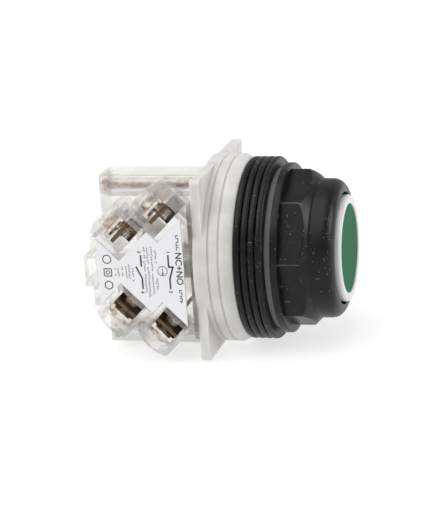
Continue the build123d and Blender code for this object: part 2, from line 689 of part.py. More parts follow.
with BuildPart() as block_screws:
    screw_end_x = FLANGE_REAR_X + THREAD_INSERT_LENGTH - BLOCK_SCREW_END_GAP
    for side in (-1, 1):
        with BuildSketch(Plane.YZ.offset(BLOCK_REAR_X)):
            with Locations((-BLOCK_SCREW_Y, side * BLOCK_SCREW_Z)):
                Circle(BLOCK_SCREW_HEAD_R)
        extrude(amount=BLOCK_SCREW_HEAD_T - BLOCK_SCREW_SINK)
        with BuildSketch(Plane.YZ.offset(BLOCK_REAR_X)):
            with Locations((-BLOCK_SCREW_Y, side * BLOCK_SCREW_Z)):
                Circle(BLOCK_SCREW_R)
        extrude(amount=screw_end_x - BLOCK_REAR_X)
        slot_z = side * BLOCK_SCREW_Z
        bar(
            (BLOCK_REAR_X, BLOCK_REAR_X + BLOCK_SCREW_SLOT_DEPTH),
            (-BLOCK_SCREW_Y - BLOCK_SCREW_HEAD_R, -BLOCK_SCREW_Y + BLOCK_SCREW_HEAD_R),
            (slot_z - BLOCK_SCREW_SLOT_W / 2, slot_z + BLOCK_SCREW_SLOT_W / 2),
            mode=Mode.SUBTRACT,
        )
save(block_screws.part, "block_screws")

# Carrier: the sliding bar that the push plate moves, with a window for each bridge.
WINDOW_NEAR_Y = BRIDGE_Y - BRIDGE_WIDTH / 2 - WINDOW_SIDE_GAP
WINDOW_FAR_Y = BRIDGE_Y + BRIDGE_WIDTH / 2 + WINDOW_SIDE_GAP
NC_LAG = TRAVEL - NC_BRIDGE_TRAVEL
NC_FRONT_X = NC_BRIDGE_X + BRIDGE_THICKNESS
NO_FRONT_X = NO_BRIDGE_X + BRIDGE_THICKNESS
NC_WINDOW = (NC_BRIDGE_X - BRIDGE_SPRING_LENGTH, NC_FRONT_X + NC_LAG + CONTACT_GAP)
NO_WINDOW = (NO_BRIDGE_X - CONTACT_GAP, NO_FRONT_X + BRIDGE_SPRING_LENGTH)
with BuildPart() as contact_carrier:
    bar(
        (CARRIER_SHOULDER_X, FRONT_PLATE_REAR_X - WALL),
        (CARRIER_NEAR_Y, CARRIER_FAR_Y),
        (-CARRIER_HALF_WIDTH, CARRIER_HALF_WIDTH),
    )
    bar(
        (FRONT_PLATE_REAR_X - WALL, CARRIER_NOSE_X),
        (-PUSH_PLATE_REACH + NOSE_END_GAP, CARRIER_FAR_Y - CARRIER_NOSE_STEP),
        (-CARRIER_HALF_WIDTH, CARRIER_HALF_WIDTH),
    )
    bar(
        (CARRIER_TAIL_X, CARRIER_SHOULDER_X),
        (CARRIER_NEAR_Y, CARRIER_TAIL_Y),
        (-CARRIER_HALF_WIDTH, CARRIER_HALF_WIDTH),
    )
    for window in (NC_WINDOW, NO_WINDOW):
        bar(
            window,
            (WINDOW_NEAR_Y, WINDOW_FAR_Y),
            (-CARRIER_HALF_WIDTH, CARRIER_HALF_WIDTH),
            mode=Mode.SUBTRACT,
        )
    with BuildSketch(Plane.YZ.offset(CARRIER_SHOULDER_X)):
        with Locations((CARRIER_SPRING_Y, 0)):
            Circle(CARRIER_SPRING_BORE_R)
    extrude(amount=CARRIER_SPRING_SEAT_X - CARRIER_SHOULDER_X, mode=Mode.SUBTRACT)
save(contact_carrier.part, "contact_carrier")

carrier_spring = coil(
    CHAMBER_REAR_X,
    CARRIER_SPRING_SEAT_X - CHAMBER_REAR_X,
    CARRIER_SPRING_R,
    FINE_WIRE_R,
    CARRIER_SPRING_TURNS,
    y=CARRIER_SPRING_Y,
)
save(carrier_spring, "carrier_spring")


def bridge(rear_x, tip_side):
    """Contact bridge across the carrier, with a silver tip towards tip_side at each end."""
    with BuildPart() as strip:
        bar(
            (rear_x, rear_x + BRIDGE_THICKNESS),
            (BRIDGE_Y - BRIDGE_WIDTH / 2, BRIDGE_Y + BRIDGE_WIDTH / 2),
            (-BRIDGE_HALF_LENGTH, BRIDGE_HALF_LENGTH),
        )
        fillet(strip.edges().filter_by(Axis.X), BRIDGE_CORNER_R)
    with BuildPart() as tips:
        face_x = rear_x + BRIDGE_THICKNESS if tip_side > 0 else rear_x
        with BuildSketch(Plane.YZ.offset(face_x)):
            with Locations((BRIDGE_Y, TIP_Z), (BRIDGE_Y, -TIP_Z)):
                Circle(TIP_R)
        extrude(amount=tip_side * TIP_THICKNESS)
    return strip.part, tips.part


nc_bridge, nc_bridge_tips = bridge(NC_BRIDGE_X, 1)
save(nc_bridge, "nc_bridge")
save(nc_bridge_tips, "nc_bridge_tips")
no_bridge, no_bridge_tips = bridge(NO_BRIDGE_X, -1)
save(no_bridge, "no_bridge")
save(no_bridge_tips, "no_bridge_tips")

nc_spring = coil(
    NC_WINDOW[0],
    NC_BRIDGE_X - NC_WINDOW[0],
    BRIDGE_SPRING_R,
    FINE_WIRE_R,
    BRIDGE_SPRING_TURNS,
    y=BRIDGE_Y,
)
save(nc_spring, "nc_bridge_spring")
no_spring = coil(
    NO_FRONT_X,
    NO_WINDOW[1] - NO_FRONT_X,
    BRIDGE_SPRING_R,
    FINE_WIRE_R,
    BRIDGE_SPRING_TURNS,
    y=BRIDGE_Y,
)
save(no_spring, "no_bridge_spring")

# Fixed contacts. Their tips face the bridges: forwards ones close at rest, rear ones
# when the button is down.
NC_FIXED_FACE_X = NC_FRONT_X + TIP_THICKNESS + CONTACT_GAP
NO_FIXED_FACE_X = NO_BRIDGE_X - TIP_THICKNESS - NO_BRIDGE_TRAVEL - CONTACT_GAP


def contact_bar(number):
    """Terminal bar in its pocket, its tongue through the lid, and the lug at its foot."""
    front = number in (1, 2)
    side = POCKETS[number][1]
    face_x = NC_FIXED_FACE_X + TIP_THICKNESS if front else NO_FIXED_FACE_X - TIP_THICKNESS
    lug_x = (face_x, face_x + BAR_THICKNESS) if front else (face_x - BAR_THICKNESS, face_x)
    tongue_x, tongue_z = moved(number, -BAR_THICKNESS / 2)
    with BuildPart() as terminal_bar:
        with BuildSketch(across_plane(number, BAR_FOOT_Y)):
            with Locations((-BAR_THICKNESS / 2, 0)):
                Rectangle(BAR_THICKNESS, BAR_WIDTH)
        extrude(amount=BAR_FOOT_Y - BAR_TOP_Y)
        # Sill on the pocket's floor, from the bar to the inner wall.
        with BuildSketch(across_plane(number, BAR_FOOT_Y)):
            with Locations((-BAR_THICKNESS - SILL_LENGTH / 2, 0)):
                Rectangle(SILL_LENGTH, BAR_WIDTH)
        extrude(amount=SILL_THICKNESS)
        with BuildSketch(across_plane(number, FOOT_FAR_Y)):
            with Locations((-BAR_THICKNESS / 2, 0)):
                Rectangle(BAR_THICKNESS, TONGUE_WIDTH)
        extrude(amount=FOOT_FAR_Y - BAR_FOOT_Y)
        # Foot plate from the tongue to the lug, under the lid.
        lug_mid = sum(lug_x) / 2
        foot_half = FOOT_WIDTH / 2
        with BuildSketch(Plane.XZ.offset(-FOOT_FAR_Y)):
            with BuildLine():
                Polyline(
                    (tongue_x - FOOT_HALF_ROOT, tongue_z),
                    (lug_x[0], side * (TIP_Z + foot_half)),
                    (lug_x[0], side * (TIP_Z - foot_half)),
                    (lug_x[1], side * (TIP_Z - foot_half)),
                    (lug_x[1], side * (TIP_Z + foot_half)),
                    (tongue_x + FOOT_HALF_ROOT, tongue_z),
                    close=True,
                )
            make_face()
        extrude(amount=FOOT_FAR_Y - FOOT_NEAR_Y)
        bar(
            lug_x,
            (FOOT_FAR_Y, LUG_FAR_Y),
            tuple(sorted((side * (TIP_Z - foot_half), side * (TIP_Z + foot_half)))),
        )
        with BuildSketch(screw_plane(number, -BAR_THICKNESS)):
            Circle(TERMINAL_SCREW_R + RUNNING_CLEARANCE)
        extrude(amount=BAR_THICKNESS, mode=Mode.SUBTRACT)
    return terminal_bar.part


for number in POCKETS:
    save(contact_bar(number), f"terminal_bar_{number}")

with BuildPart() as fixed_tips:
    for face_x, direction in ((NC_FIXED_FACE_X, 1), (NO_FIXED_FACE_X, -1)):
        with BuildSketch(Plane.YZ.offset(face_x)):
            with Locations((BRIDGE_Y, TIP_Z), (BRIDGE_Y, -TIP_Z)):
                Circle(TIP_R)
        extrude(amount=direction * TIP_THICKNESS)
save(fixed_tips.part, "fixed_tips")


def saddle_clamp(number):
    """Wire clamp under a screw's head: a plate with two lips turned towards the bar."""
    with BuildPart() as clamp:
        with BuildSketch(screw_plane(number, CLAMP_OPENING)):
            Rectangle(CLAMP_DEPTH, CLAMP_WIDTH)
        extrude(amount=CLAMP_THICKNESS)
        with BuildSketch(screw_plane(number, CLAMP_OPENING)):
            lip_offset = (CLAMP_WIDTH - CLAMP_THICKNESS) / 2
            with Locations((0, lip_offset), (0, -lip_offset)):
                Rectangle(CLAMP_DEPTH, CLAMP_THICKNESS)
        extrude(amount=-CLAMP_LIP)
        with BuildSketch(screw_plane(number, CLAMP_OPENING - CLAMP_LIP)):
            Circle(TERMINAL_SCREW_R + 2 * RUNNING_CLEARANCE)
        extrude(amount=CLAMP_LIP + CLAMP_THICKNESS, mode=Mode.SUBTRACT)
    return clamp.part


def terminal_screw(number):
    """Slotted pan-head screw that presses the saddle clamp on the bar."""
    head_start = CLAMP_OPENING + CLAMP_THICKNESS + TERMINAL_HEAD_GAP
    with BuildPart() as screw:
        with BuildSketch(screw_plane(number, head_start)):
            Circle(TERMINAL_HEAD_R)
        extrude(amount=TERMINAL_HEAD_T)
        top_edges = screw.edges().filter_by(GeomType.CIRCLE).sort_by(Axis(
            origin=pocket_centre(number, TERMINAL_DEPTH_Y), direction=outward(number)
        ))
        fillet(top_edges[-1], TERMINAL_HEAD_EDGE_R)
        with BuildSketch(screw_plane(number, head_start)):
            Circle(TERMINAL_SCREW_R)
        extrude(amount=-TERMINAL_SCREW_LENGTH)
        with BuildSketch(screw_plane(number, head_start + TERMINAL_HEAD_T)):
            Rectangle(
                3 * TERMINAL_HEAD_R, TERMINAL_SLOT_W, rotation=TERMINAL_SLOT_STEP * number
            )
        extrude(amount=-TERMINAL_SLOT_DEPTH, mode=Mode.SUBTRACT)
    return screw.part


for number in POCKETS:
    save(saddle_clamp(number), f"saddle_clamp_{number}")
    save(terminal_screw(number), f"terminal_screw_{number}")
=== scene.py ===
"""Looks of the panel push button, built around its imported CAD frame.

Frame: +X points out of the panel along the button's axis, +Z is up and the contact
block's label faces -Y. Meshes are in metres; the sizes below are in millimetres.
"""

import json
import logging
import math
import random
from dataclasses import dataclass
from enum import Enum
from typing import Any, Callable, Mapping, Optional, Sequence, Union

import bmesh
import bpy
from mathutils import Matrix, Vector

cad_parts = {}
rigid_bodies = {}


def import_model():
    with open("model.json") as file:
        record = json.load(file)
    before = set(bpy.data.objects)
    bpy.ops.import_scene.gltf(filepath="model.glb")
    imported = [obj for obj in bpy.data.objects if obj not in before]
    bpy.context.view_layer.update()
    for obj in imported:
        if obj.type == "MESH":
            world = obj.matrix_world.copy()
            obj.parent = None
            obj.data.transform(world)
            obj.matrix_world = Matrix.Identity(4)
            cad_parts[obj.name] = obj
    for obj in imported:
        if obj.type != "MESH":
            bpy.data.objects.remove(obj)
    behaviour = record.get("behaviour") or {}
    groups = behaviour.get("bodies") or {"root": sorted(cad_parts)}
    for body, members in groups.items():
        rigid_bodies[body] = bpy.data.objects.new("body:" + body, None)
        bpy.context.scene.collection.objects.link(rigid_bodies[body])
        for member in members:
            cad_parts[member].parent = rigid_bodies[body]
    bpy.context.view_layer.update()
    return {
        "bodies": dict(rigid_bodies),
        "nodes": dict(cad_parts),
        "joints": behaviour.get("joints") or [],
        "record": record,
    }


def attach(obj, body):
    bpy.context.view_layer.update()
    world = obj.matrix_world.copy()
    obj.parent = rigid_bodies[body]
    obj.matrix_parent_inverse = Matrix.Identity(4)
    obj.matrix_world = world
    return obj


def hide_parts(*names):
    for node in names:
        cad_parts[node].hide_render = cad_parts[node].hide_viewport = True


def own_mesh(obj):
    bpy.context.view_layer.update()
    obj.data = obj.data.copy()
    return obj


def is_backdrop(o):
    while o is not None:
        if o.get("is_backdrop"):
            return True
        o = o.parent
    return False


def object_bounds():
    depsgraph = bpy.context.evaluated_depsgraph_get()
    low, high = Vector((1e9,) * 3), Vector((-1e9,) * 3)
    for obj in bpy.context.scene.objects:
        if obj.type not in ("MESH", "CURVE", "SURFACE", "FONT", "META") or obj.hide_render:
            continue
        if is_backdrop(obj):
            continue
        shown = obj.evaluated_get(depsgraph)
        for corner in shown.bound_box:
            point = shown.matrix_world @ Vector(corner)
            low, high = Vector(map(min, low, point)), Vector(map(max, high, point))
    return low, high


LOG = logging.getLogger("push_button")
MM = 0.001
ON_AXIS = 1e-6
WELD = 0.001 * MM
FLAT = math.radians(0.6)
EDGE_WEAR = 0.22
SHARP = math.radians(30.0)
ALONG_X = (0.0, math.pi / 2.0, 0.0)
FULL_TURN = 2.0 * math.pi
Colour = tuple[float, float, float]
Point2 = tuple[float, float]
Value = Union[float, int, tuple, "Sig", bpy.types.NodeSocket]


class Shading(Enum):
    """How the faces of a finished mesh meet."""

    SMOOTH = 60.0
    CREASED = 32.0


# ------------------------------------------------------------------ node building


class NodeMaker:
    """Adds nodes to a shader or geometry tree."""

    def __init__(self, tree: bpy.types.NodeTree) -> None:
        """Keep the tree that the nodes go to."""
        self.tree = tree

    def node(
        self,
        kind: str,
        settings: Optional[Mapping[str, Any]] = None,
        inputs: Optional[Mapping[Union[str, int], Value]] = None,
    ) -> bpy.types.Node:
        """Make any node.

        Args:
            kind: the node's type name.
            settings: its properties.
            inputs: values or links, by socket identifier, name or index.

        Returns:
            The new node.
        """
        made = self.tree.nodes.new(kind)
        for key, setting in (settings or {}).items():
            setattr(made, key, setting)
        for key, value in (inputs or {}).items():
            self.feed(self.socket(made, key), value)
        return made

    @staticmethod
    def socket(node: bpy.types.Node, key: Union[str, int]) -> bpy.types.NodeSocket:
        """Find an input by its place, identifier or name."""
        if isinstance(key, int):
            return node.inputs[key]
        for match in ("identifier", "name"):
            for candidate in node.inputs:
                if getattr(candidate, match) == key and candidate.enabled:
                    return candidate
        raise KeyError(f"{node.bl_idname} has no input {key}")

    def feed(self, socket: bpy.types.NodeSocket, value: Value) -> None:
        """Set a socket's own value, or link something to it."""
        if isinstance(value, Sig):
            self.tree.links.new(value.socket, socket)
        elif isinstance(value, bpy.types.NodeSocket):
            self.tree.links.new(value, socket)
        elif isinstance(value, tuple) and len(value) == 3 and len(socket.default_value) == 4:
            socket.default_value = (*value, 1.0)
        else:
            socket.default_value = value

    def math(self, operation: str, *values: Value) -> "Sig":
        """Combine numbers with a Math node."""
        made = self.node("ShaderNodeMath", {"operation": operation}, dict(enumerate(values)))
        return Sig(self, made.outputs[0])


def operation(kind: str, swapped: bool = False) -> Callable[["Sig", Value], "Sig"]:
    """Make a method that combines a number with another value.

    Args:
        kind: the Math node's operation.
        swapped: whether the other value comes first.

    Returns:
        The method.
    """

    def method(self: "Sig", other: Value) -> "Sig":
        """Combine the two."""
        return self.maker.math(kind, *((other, self) if swapped else (self, other)))

    return method


class Sig:
    """A number that flows between nodes and takes Python's operators."""

    __add__ = operation("ADD")
    __radd__ = operation("ADD", swapped=True)
    __sub__ = operation("SUBTRACT")
    __rsub__ = operation("SUBTRACT", swapped=True)
    __mul__ = operation("MULTIPLY")
    __rmul__ = operation("MULTIPLY", swapped=True)
    __truediv__ = operation("DIVIDE")
    __rtruediv__ = operation("DIVIDE", swapped=True)
    __lt__ = operation("LESS_THAN")
    __gt__ = operation("GREATER_THAN")
    highest = operation("MAXIMUM")

    def __init__(self, maker: NodeMaker, socket: bpy.types.NodeSocket) -> None:
        """Wrap an output socket."""
        self.maker = maker
        self.socket = socket

    def ease(self, low: float, high: float) -> "Sig":
        """Zero at low, one at high, smooth between."""
        made = self.maker.node(
            "ShaderNodeMapRange",
            {"interpolation_type": "SMOOTHSTEP"},
            {"Value": self, "From Min": low, "From Max": high},
        )
        return Sig(self.maker, made.outputs[0])


class Shader(NodeMaker):
    """A material whose patterns read Object coordinates in millimetres."""

    def __init__(self, name: str) -> None:
        """Start an empty material."""
        self.material = bpy.data.materials.new(name)
        self.material.use_nodes = True
        super().__init__(self.material.node_tree)
        self.tree.nodes.clear()
        self.output = self.node("ShaderNodeOutputMaterial")
        self.origin = self.node("ShaderNodeTexCoord").outputs["Object"]

    def place(
        self, stretch: tuple = (1.0, 1.0, 1.0), turn: tuple = (0.0, 0.0, 0.0)
    ) -> bpy.types.NodeSocket:
        """Object coordinates in millimetres, stretched and turned."""
        scale = tuple(s / MM for s in stretch)
        made = self.node(
            "ShaderNodeMapping", {}, {"Vector": self.origin, "Rotation": turn, "Scale": scale}
        )
        return made.outputs[0]

    def noise(
        self, scale: float, detail: float = 3.0, at: Optional[bpy.types.NodeSocket] = None
    ) -> Sig:
        """Soft noise between 0 and 1; scale is its features to a millimetre."""
        inputs = {"Vector": at or self.place(), "Scale": scale, "Detail": detail}
        return Sig(self, self.node("ShaderNodeTexNoise", {}, inputs).outputs[0])

    def specks(
        self, pitch: float, radius: float, share: float, at: Optional[bpy.types.NodeSocket] = None
    ) -> Sig:
        """Small round specks.

        Args:
            pitch: millimetres from speck to speck.
            radius: a speck's share of the pitch.
            share: how many of the places hold one.
            at: the coordinates, where they are stretched.

        Returns:
            One inside a speck, zero outside.
        """
        cells = self.node(
            "ShaderNodeTexVoronoi", {}, {"Vector": at or self.place(), "Scale": 1.0 / pitch}
        )
        apart = self.node("ShaderNodeSeparateColor", {}, {0: cells.outputs["Color"]})
        near = 1.0 - Sig(self, cells.outputs["Distance"]).ease(radius * 0.6, radius)
        return near * (Sig(self, apart.outputs[0]) < share)

    def scratches(self) -> Sig:
        """Short fine hairs that lie in three directions."""
        total: Optional[Sig] = None
        for turn, stretch in (
            ((0.3, 0.5, 0.4), (0.16, 2.0, 2.0)),
            ((1.1, 0.2, 1.3), (2.2, 0.2, 2.2)),
            ((0.7, 1.4, 2.2), (1.8, 1.8, 0.14)),
        ):
            mask = self.specks(1.0, 0.17, 0.4, self.place(stretch, turn))
            total = mask if total is None else total.highest(mask)
        return total

    def blend(self, factor: Value, first: Value, second: Value) -> bpy.types.NodeSocket:
        """Mix two colours."""
        inputs = {"Factor_Float": factor, "A_Color": first, "B_Color": second}
        return self.node("ShaderNodeMix", {"data_type": "RGBA"}, inputs).outputs[2]

    def stored(self, name: str) -> Sig:
        """A number that the mesh carries."""
        return Sig(self, self.node("ShaderNodeAttribute", {"attribute_name": name}).outputs["Fac"])

    def bump(self, height: Sig, depth: float) -> bpy.types.NodeSocket:
        """Turn a height between 0 and 1 into a normal; depth is in millimetres."""
        inputs = {"Height": height, "Distance": depth * MM, "Strength": 1.0}
        return self.node("ShaderNodeBump", {}, inputs).outputs[0]

    def surface(self, **inputs: Value) -> bpy.types.Node:
        """A Principled surface; underscores in the names stand for spaces."""
        named = {key.replace("_", " "): value for key, value in inputs.items()}
        return self.node("ShaderNodeBsdfPrincipled", {}, named)

    def done(self, shader: bpy.types.Node) -> bpy.types.Material:
        """Send a shader to the output and return the material."""
        self.tree.links.new(shader.outputs[0], self.output.inputs[0])
        return self.material

    def painted(self, **inputs: Value) -> bpy.types.Material:
        """The material with one Principled surface."""
        return self.done(self.surface(**inputs))


# ----------------------------------------------------------------------- finishes


@dataclass(frozen=True)
class Finish:
    """A finish of the object: the record's slot that it stands for and its colour."""

    slot: str
    colour: Colour
    roughness: float = 0.4

    def tone(self, factor: float) -> Colour:
        """The colour, lighter or darker."""
        red, green, blue = (min(1.0, c * factor) for c in self.colour)
        return (red, green, blue)

    def material(self) -> bpy.types.Material:
        """Build the node tree; each kind of finish has its own."""
        raise NotImplementedError


@dataclass(frozen=True)
class Nylon(Finish):
    """Natural moulded nylon: milky, a little light goes into it, with flow lines."""

    depth: float = 3.0

    def material(self) -> bpy.types.Material:
        """Build the milky plastic."""
        s = Shader(self.slot)
        flow = s.noise(0.22, 3.0, s.place((0.5, 1.0, 1.0), (0.2, 0.1, 0.3)))
        fine = s.noise(2.4, 4.0)
        colour = s.blend(flow.ease(0.35, 0.7), self.tone(0.93), self.tone(1.04))
        return s.painted(
            Base_Color=colour,
            Roughness=self.roughness + fine * 0.12,
            Subsurface_Weight=0.6,
            Subsurface_Radius=(1.0, 0.95, 0.88),
            Subsurface_Scale=self.depth * MM,
            Normal=s.bump(fine, 0.004),
        )


@dataclass(frozen=True)
class BlackMoulding(Finish):
    """Black plastic or rubber with dust specks and hair scratches."""

    grain: float = 0.01
    dust: float = 0.3
    wear: float = 0.5

    def material(self) -> bpy.types.Material:
        """Build the black finish."""
        s = Shader(self.slot)
        cloud = s.noise(0.25, 4.0)
        fine = s.noise(5.0, 2.0)
        dots = s.specks(1.1, 0.09, self.dust)
        large = s.specks(4.2, 0.035, 0.35)
        hairs = s.scratches() * cloud.ease(0.48, 0.62) * self.wear
        worn = s.stored("worn") * cloud.ease(0.3, 0.6) * 0.25
        mark = dots.highest(large).highest(hairs).highest(worn)
        base = s.blend(cloud.ease(0.3, 0.75), self.tone(0.8), self.tone(1.5))
        colour = s.blend(mark * 0.75, base, (0.55, 0.55, 0.54))
        return s.painted(
            Base_Color=colour,
            Roughness=self.roughness + cloud * 0.14 + mark * 0.2,
            Specular_IOR_Level=0.22,
            Normal=s.bump(fine + mark * 1.5, self.grain),
        )


@dataclass(frozen=True)
class Moulding(Finish):
    """Plain moulded plastic with a faint cloud, fine grain and a clear coat of gloss."""

    gloss: float = 0.0
    grain: float = 0.006
    cloud: float = 0.06
    shine: float = 0.5

    def material(self) -> bpy.types.Material:
        """Build the moulded plastic."""
        s = Shader(self.slot)
        cloud = s.noise(0.18, 3.0)
        fine = s.noise(6.0, 2.0)
        colour = s.blend(
            cloud.ease(0.3, 0.7), self.tone(1.0 - self.cloud), self.tone(1.0 + self.cloud)
        )
        return s.painted(
            Base_Color=colour,
            Roughness=self.roughness + fine * 0.08,
            Specular_IOR_Level=self.shine,
            Coat_Weight=self.gloss,
            Coat_Roughness=0.12,
            Normal=s.bump(fine, self.grain),
        )


@dataclass(frozen=True)
class ClearPlastic(Finish):
    """Clear polycarbonate: see-through and a little milky, with warm thick edges and a painted
    highlight of bright cream on its bevelled edges.
    """

    body: float = 0.09
    edge: float = 0.5
    shade: Colour = (0.5, 0.465, 0.39)
    bending: float = 0.32

    def material(self) -> bpy.types.Material:
        """Build the clear plastic: a see-through skin mixed with a refracting part."""
        s = Shader(self.slot)
        cloud = s.noise(0.3, 3.0)
        fine = s.noise(1.1, 3.0)
        dots = s.specks(1.6, 0.06, 0.3)
        facing = Sig(s, s.node("ShaderNodeLayerWeight", {}, {"Blend": 0.35}).outputs["Facing"])
        rim = facing * facing
        # The bevelled edges are painted bright cream and nearly opaque, with less of the refracting
        # part: painted highlight lines along every edge.
        broken = s.stored("edge")
        skin = s.surface(
            Base_Color=s.blend(broken.highest(cloud.ease(0.3, 0.62)), self.shade, self.colour),
            Roughness=self.roughness + fine * 0.1,
            Alpha=self.body + cloud * 0.1 + rim * self.edge + dots * 0.3 + broken * 0.8,
            Normal=s.bump(fine, 0.006),
        )
        glass = s.surface(
            Base_Color=s.blend(cloud, self.tone(1.0), self.tone(1.03)),
            Roughness=self.roughness + fine * 0.05,
            IOR=1.4,
            Transmission_Weight=1.0,
            Normal=s.bump(fine + cloud, 0.01),
        )
        share = (self.bending + cloud * 0.1) * (1.0 - broken * 0.9)
        mixed = s.node("ShaderNodeMixShader", {}, {0: share})
        s.tree.links.new(skin.outputs[0], mixed.inputs[1])
        s.tree.links.new(glass.outputs[0], mixed.inputs[2])
        return s.done(mixed)


@dataclass(frozen=True)
class Metal(Finish):
    """Plated, tarnished or polished metal."""

    tint: Colour = (0.7, 0.55, 0.5)
    tint_share: float = 0.3
    grain: float = 0.01

    def material(self) -> bpy.types.Material:
        """Build the metal."""
        s = Shader(self.slot)
        patches = s.noise(0.55, 4.0)
        brushed = s.noise(2.2, 3.0, s.place((0.3, 2.0, 0.3)))
        dull = s.noise(1.4, 4.0).ease(0.45, 0.75)
        tinted = s.blend(patches.ease(0.42, 0.66) * self.tint_share * 2.0, self.colour, self.tint)
        colour = s.blend(dull * 0.35, tinted, self.tone(0.55))
        return s.painted(
            Base_Color=colour,
            Metallic=1.0 - dull * 0.15,
            Roughness=self.roughness + brushed * 0.12 + dull * 0.15,
            Normal=s.bump(brushed, self.grain),
        )


@dataclass(frozen=True)
class Card(Finish):
    """Printed label stock."""

    def material(self) -> bpy.types.Material:
        """Build the label's white face."""
        s = Shader(self.slot)
        fibre = s.noise(3.0, 4.0)
        dots = s.specks(2.2, 0.05, 0.25)
        cloud = s.noise(0.12, 2.0)
        base = s.blend(cloud.ease(0.3, 0.7), self.tone(0.985), self.tone(1.01))
        colour = s.blend(dots * 0.4, base, (0.5, 0.5, 0.5))
        return s.painted(
            Base_Color=colour,
            Roughness=self.roughness + fibre * 0.1,
            Normal=s.bump(fibre, 0.004),
        )


@dataclass(frozen=True)
class Ink(Finish):
    """Black printing ink, a little uneven."""

    def material(self) -> bpy.types.Material:
        """Build the ink."""
        s = Shader("label_ink")
        cover = s.noise(2.6, 3.0)
        return s.painted(
            Base_Color=s.blend(cover.ease(0.35, 0.75), self.colour, self.tone(2.6)),
            Roughness=self.roughness + cover * 0.15,
        )


@dataclass(frozen=True)
class Paper(Finish):
    """The pale ground that the object stands on; a glow keeps its shadow soft."""

    glow: float = 0.68

    def material(self) -> bpy.types.Material:
        """Build the ground."""
        s = Shader("studio_floor")
        grain = s.noise(0.05, 2.0)
        colour = s.blend(grain, self.tone(0.99), self.tone(1.01))
        return s.painted(
            Base_Color=colour,
            Roughness=self.roughness + grain * 0.05,
            Specular_IOR_Level=0.2,
            Emission_Color=(1.0, 1.0, 1.0),
            Emission_Strength=self.glow,
        )


FINISHES: tuple[Finish, ...] = (
    Nylon("white_nylon", (0.6, 0.592, 0.575), 0.36),
    BlackMoulding("black_plastic", (0.0045, 0.0045, 0.005), 0.28, grain=0.006, dust=0.5),
    BlackMoulding("black_rubber", (0.0035, 0.0035, 0.004), 0.3, grain=0.006, dust=0.85, wear=0.5),
    Moulding("grey_washer", (0.135, 0.135, 0.14), 0.5),
    Moulding("white_cap", (0.52, 0.52, 0.52), 0.25, gloss=0.4, grain=0.002, cloud=0.01),
    Moulding("green_insert", (0.02, 0.12, 0.058), 0.5, grain=0.008, cloud=0.05, shine=0.03),
    Moulding("stem_plastic", (0.72, 0.71, 0.67), 0.4),
    Metal("zinc_steel", (0.7, 0.67, 0.6), 0.16, tint=(0.5, 0.36, 0.3), tint_share=0.45),
    Metal("spring_steel", (0.62, 0.62, 0.62), 0.25, tint=(0.5, 0.48, 0.45)),
    Metal("brass", (0.78, 0.58, 0.3), 0.28, tint=(0.6, 0.4, 0.2)),
    Metal("bar_metal", (0.13, 0.09, 0.055), 0.25, tint=(0.07, 0.035, 0.02), tint_share=0.45),
    Metal("silver", (0.88, 0.87, 0.85), 0.15, tint=(0.7, 0.68, 0.62), tint_share=0.2),
    ClearPlastic("clear_plastic", (0.93, 0.92, 0.895), 0.05),
    Card("label_card", (0.76, 0.76, 0.775), 0.42),
    Moulding("carrier_plastic", (0.74, 0.73, 0.7), 0.42),
)
INK = Ink("label_card", (0.018, 0.018, 0.02), 0.5)
FLOOR = Paper("studio_floor", (0.36, 0.36, 0.36), 0.6)


# ---------------------------------------------------------------------- mesh work


def baked(form: bmesh.types.BMesh, name: str) -> bpy.types.Mesh:
    """Keep an edited form as a new mesh and free it."""
    mesh = bpy.data.meshes.new(name)
    form.to_mesh(mesh)
    form.free()
    return mesh


def rounded(corners: Sequence[tuple[float, float, float]], steps: int = 5) -> list[Point2]:
    """Round the corners of a closed outline.

    Args:
        corners: x, radius from the axis, and the corner's own rounding.
        steps: points to an arc, less one.

    Returns:
        The outline's points, in order.
    """
    points: list[Point2] = []
    count = len(corners)
    for i, (x, r, size) in enumerate(corners):
        here = Vector((x, r))
        back = Vector(corners[i - 1][:2]) - here
        ahead = Vector(corners[(i + 1) % count][:2]) - here
        if size <= 0.0:
            points.append((x, r))
            continue
        half = back.angle(ahead) / 2.0
        reach = size / math.tan(half)
        start = here + back.normalized() * reach
        end = here + ahead.normalized() * reach
        middle = here + (back.normalized() + ahead.normalized()).normalized() * (
            size / math.sin(half)
        )
        first, last = start - middle, end - middle
        turn = first.angle_signed(last)
        for k in range(steps + 1):
            angle = -turn * k / steps
            c, d = math.cos(angle), math.sin(angle)
            points.append(
                (middle.x + first.x * c - first.y * d, middle.y + first.x * d + first.y * c)
            )
    return points


def divided(points: Sequence[Point2], longest: float, within: tuple[float, float]) -> list[Point2]:
    """Add points along the outer runs that lie between two X values.

    Args:
        points: a closed outline.
        longest: no run is longer than this.
        within: the lowest and highest X that it applies to.

    Returns:
        The outline with its added points.
    """
    result: list[Point2] = []
    for (x0, r0), (x1, r1) in zip(points, [*points[1:], points[0]]):
        result.append((x0, r0))
        inside = within[0] <= min(x0, x1) and max(x0, x1) <= within[1] and x1 > x0
        pieces = math.ceil(math.hypot(x1 - x0, r1 - r0) / longest) if inside else 1
        for k in range(1, pieces):
            t = k / pieces
            result.append((x0 + (x1 - x0) * t, r0 + (r1 - r0) * t))
    return result


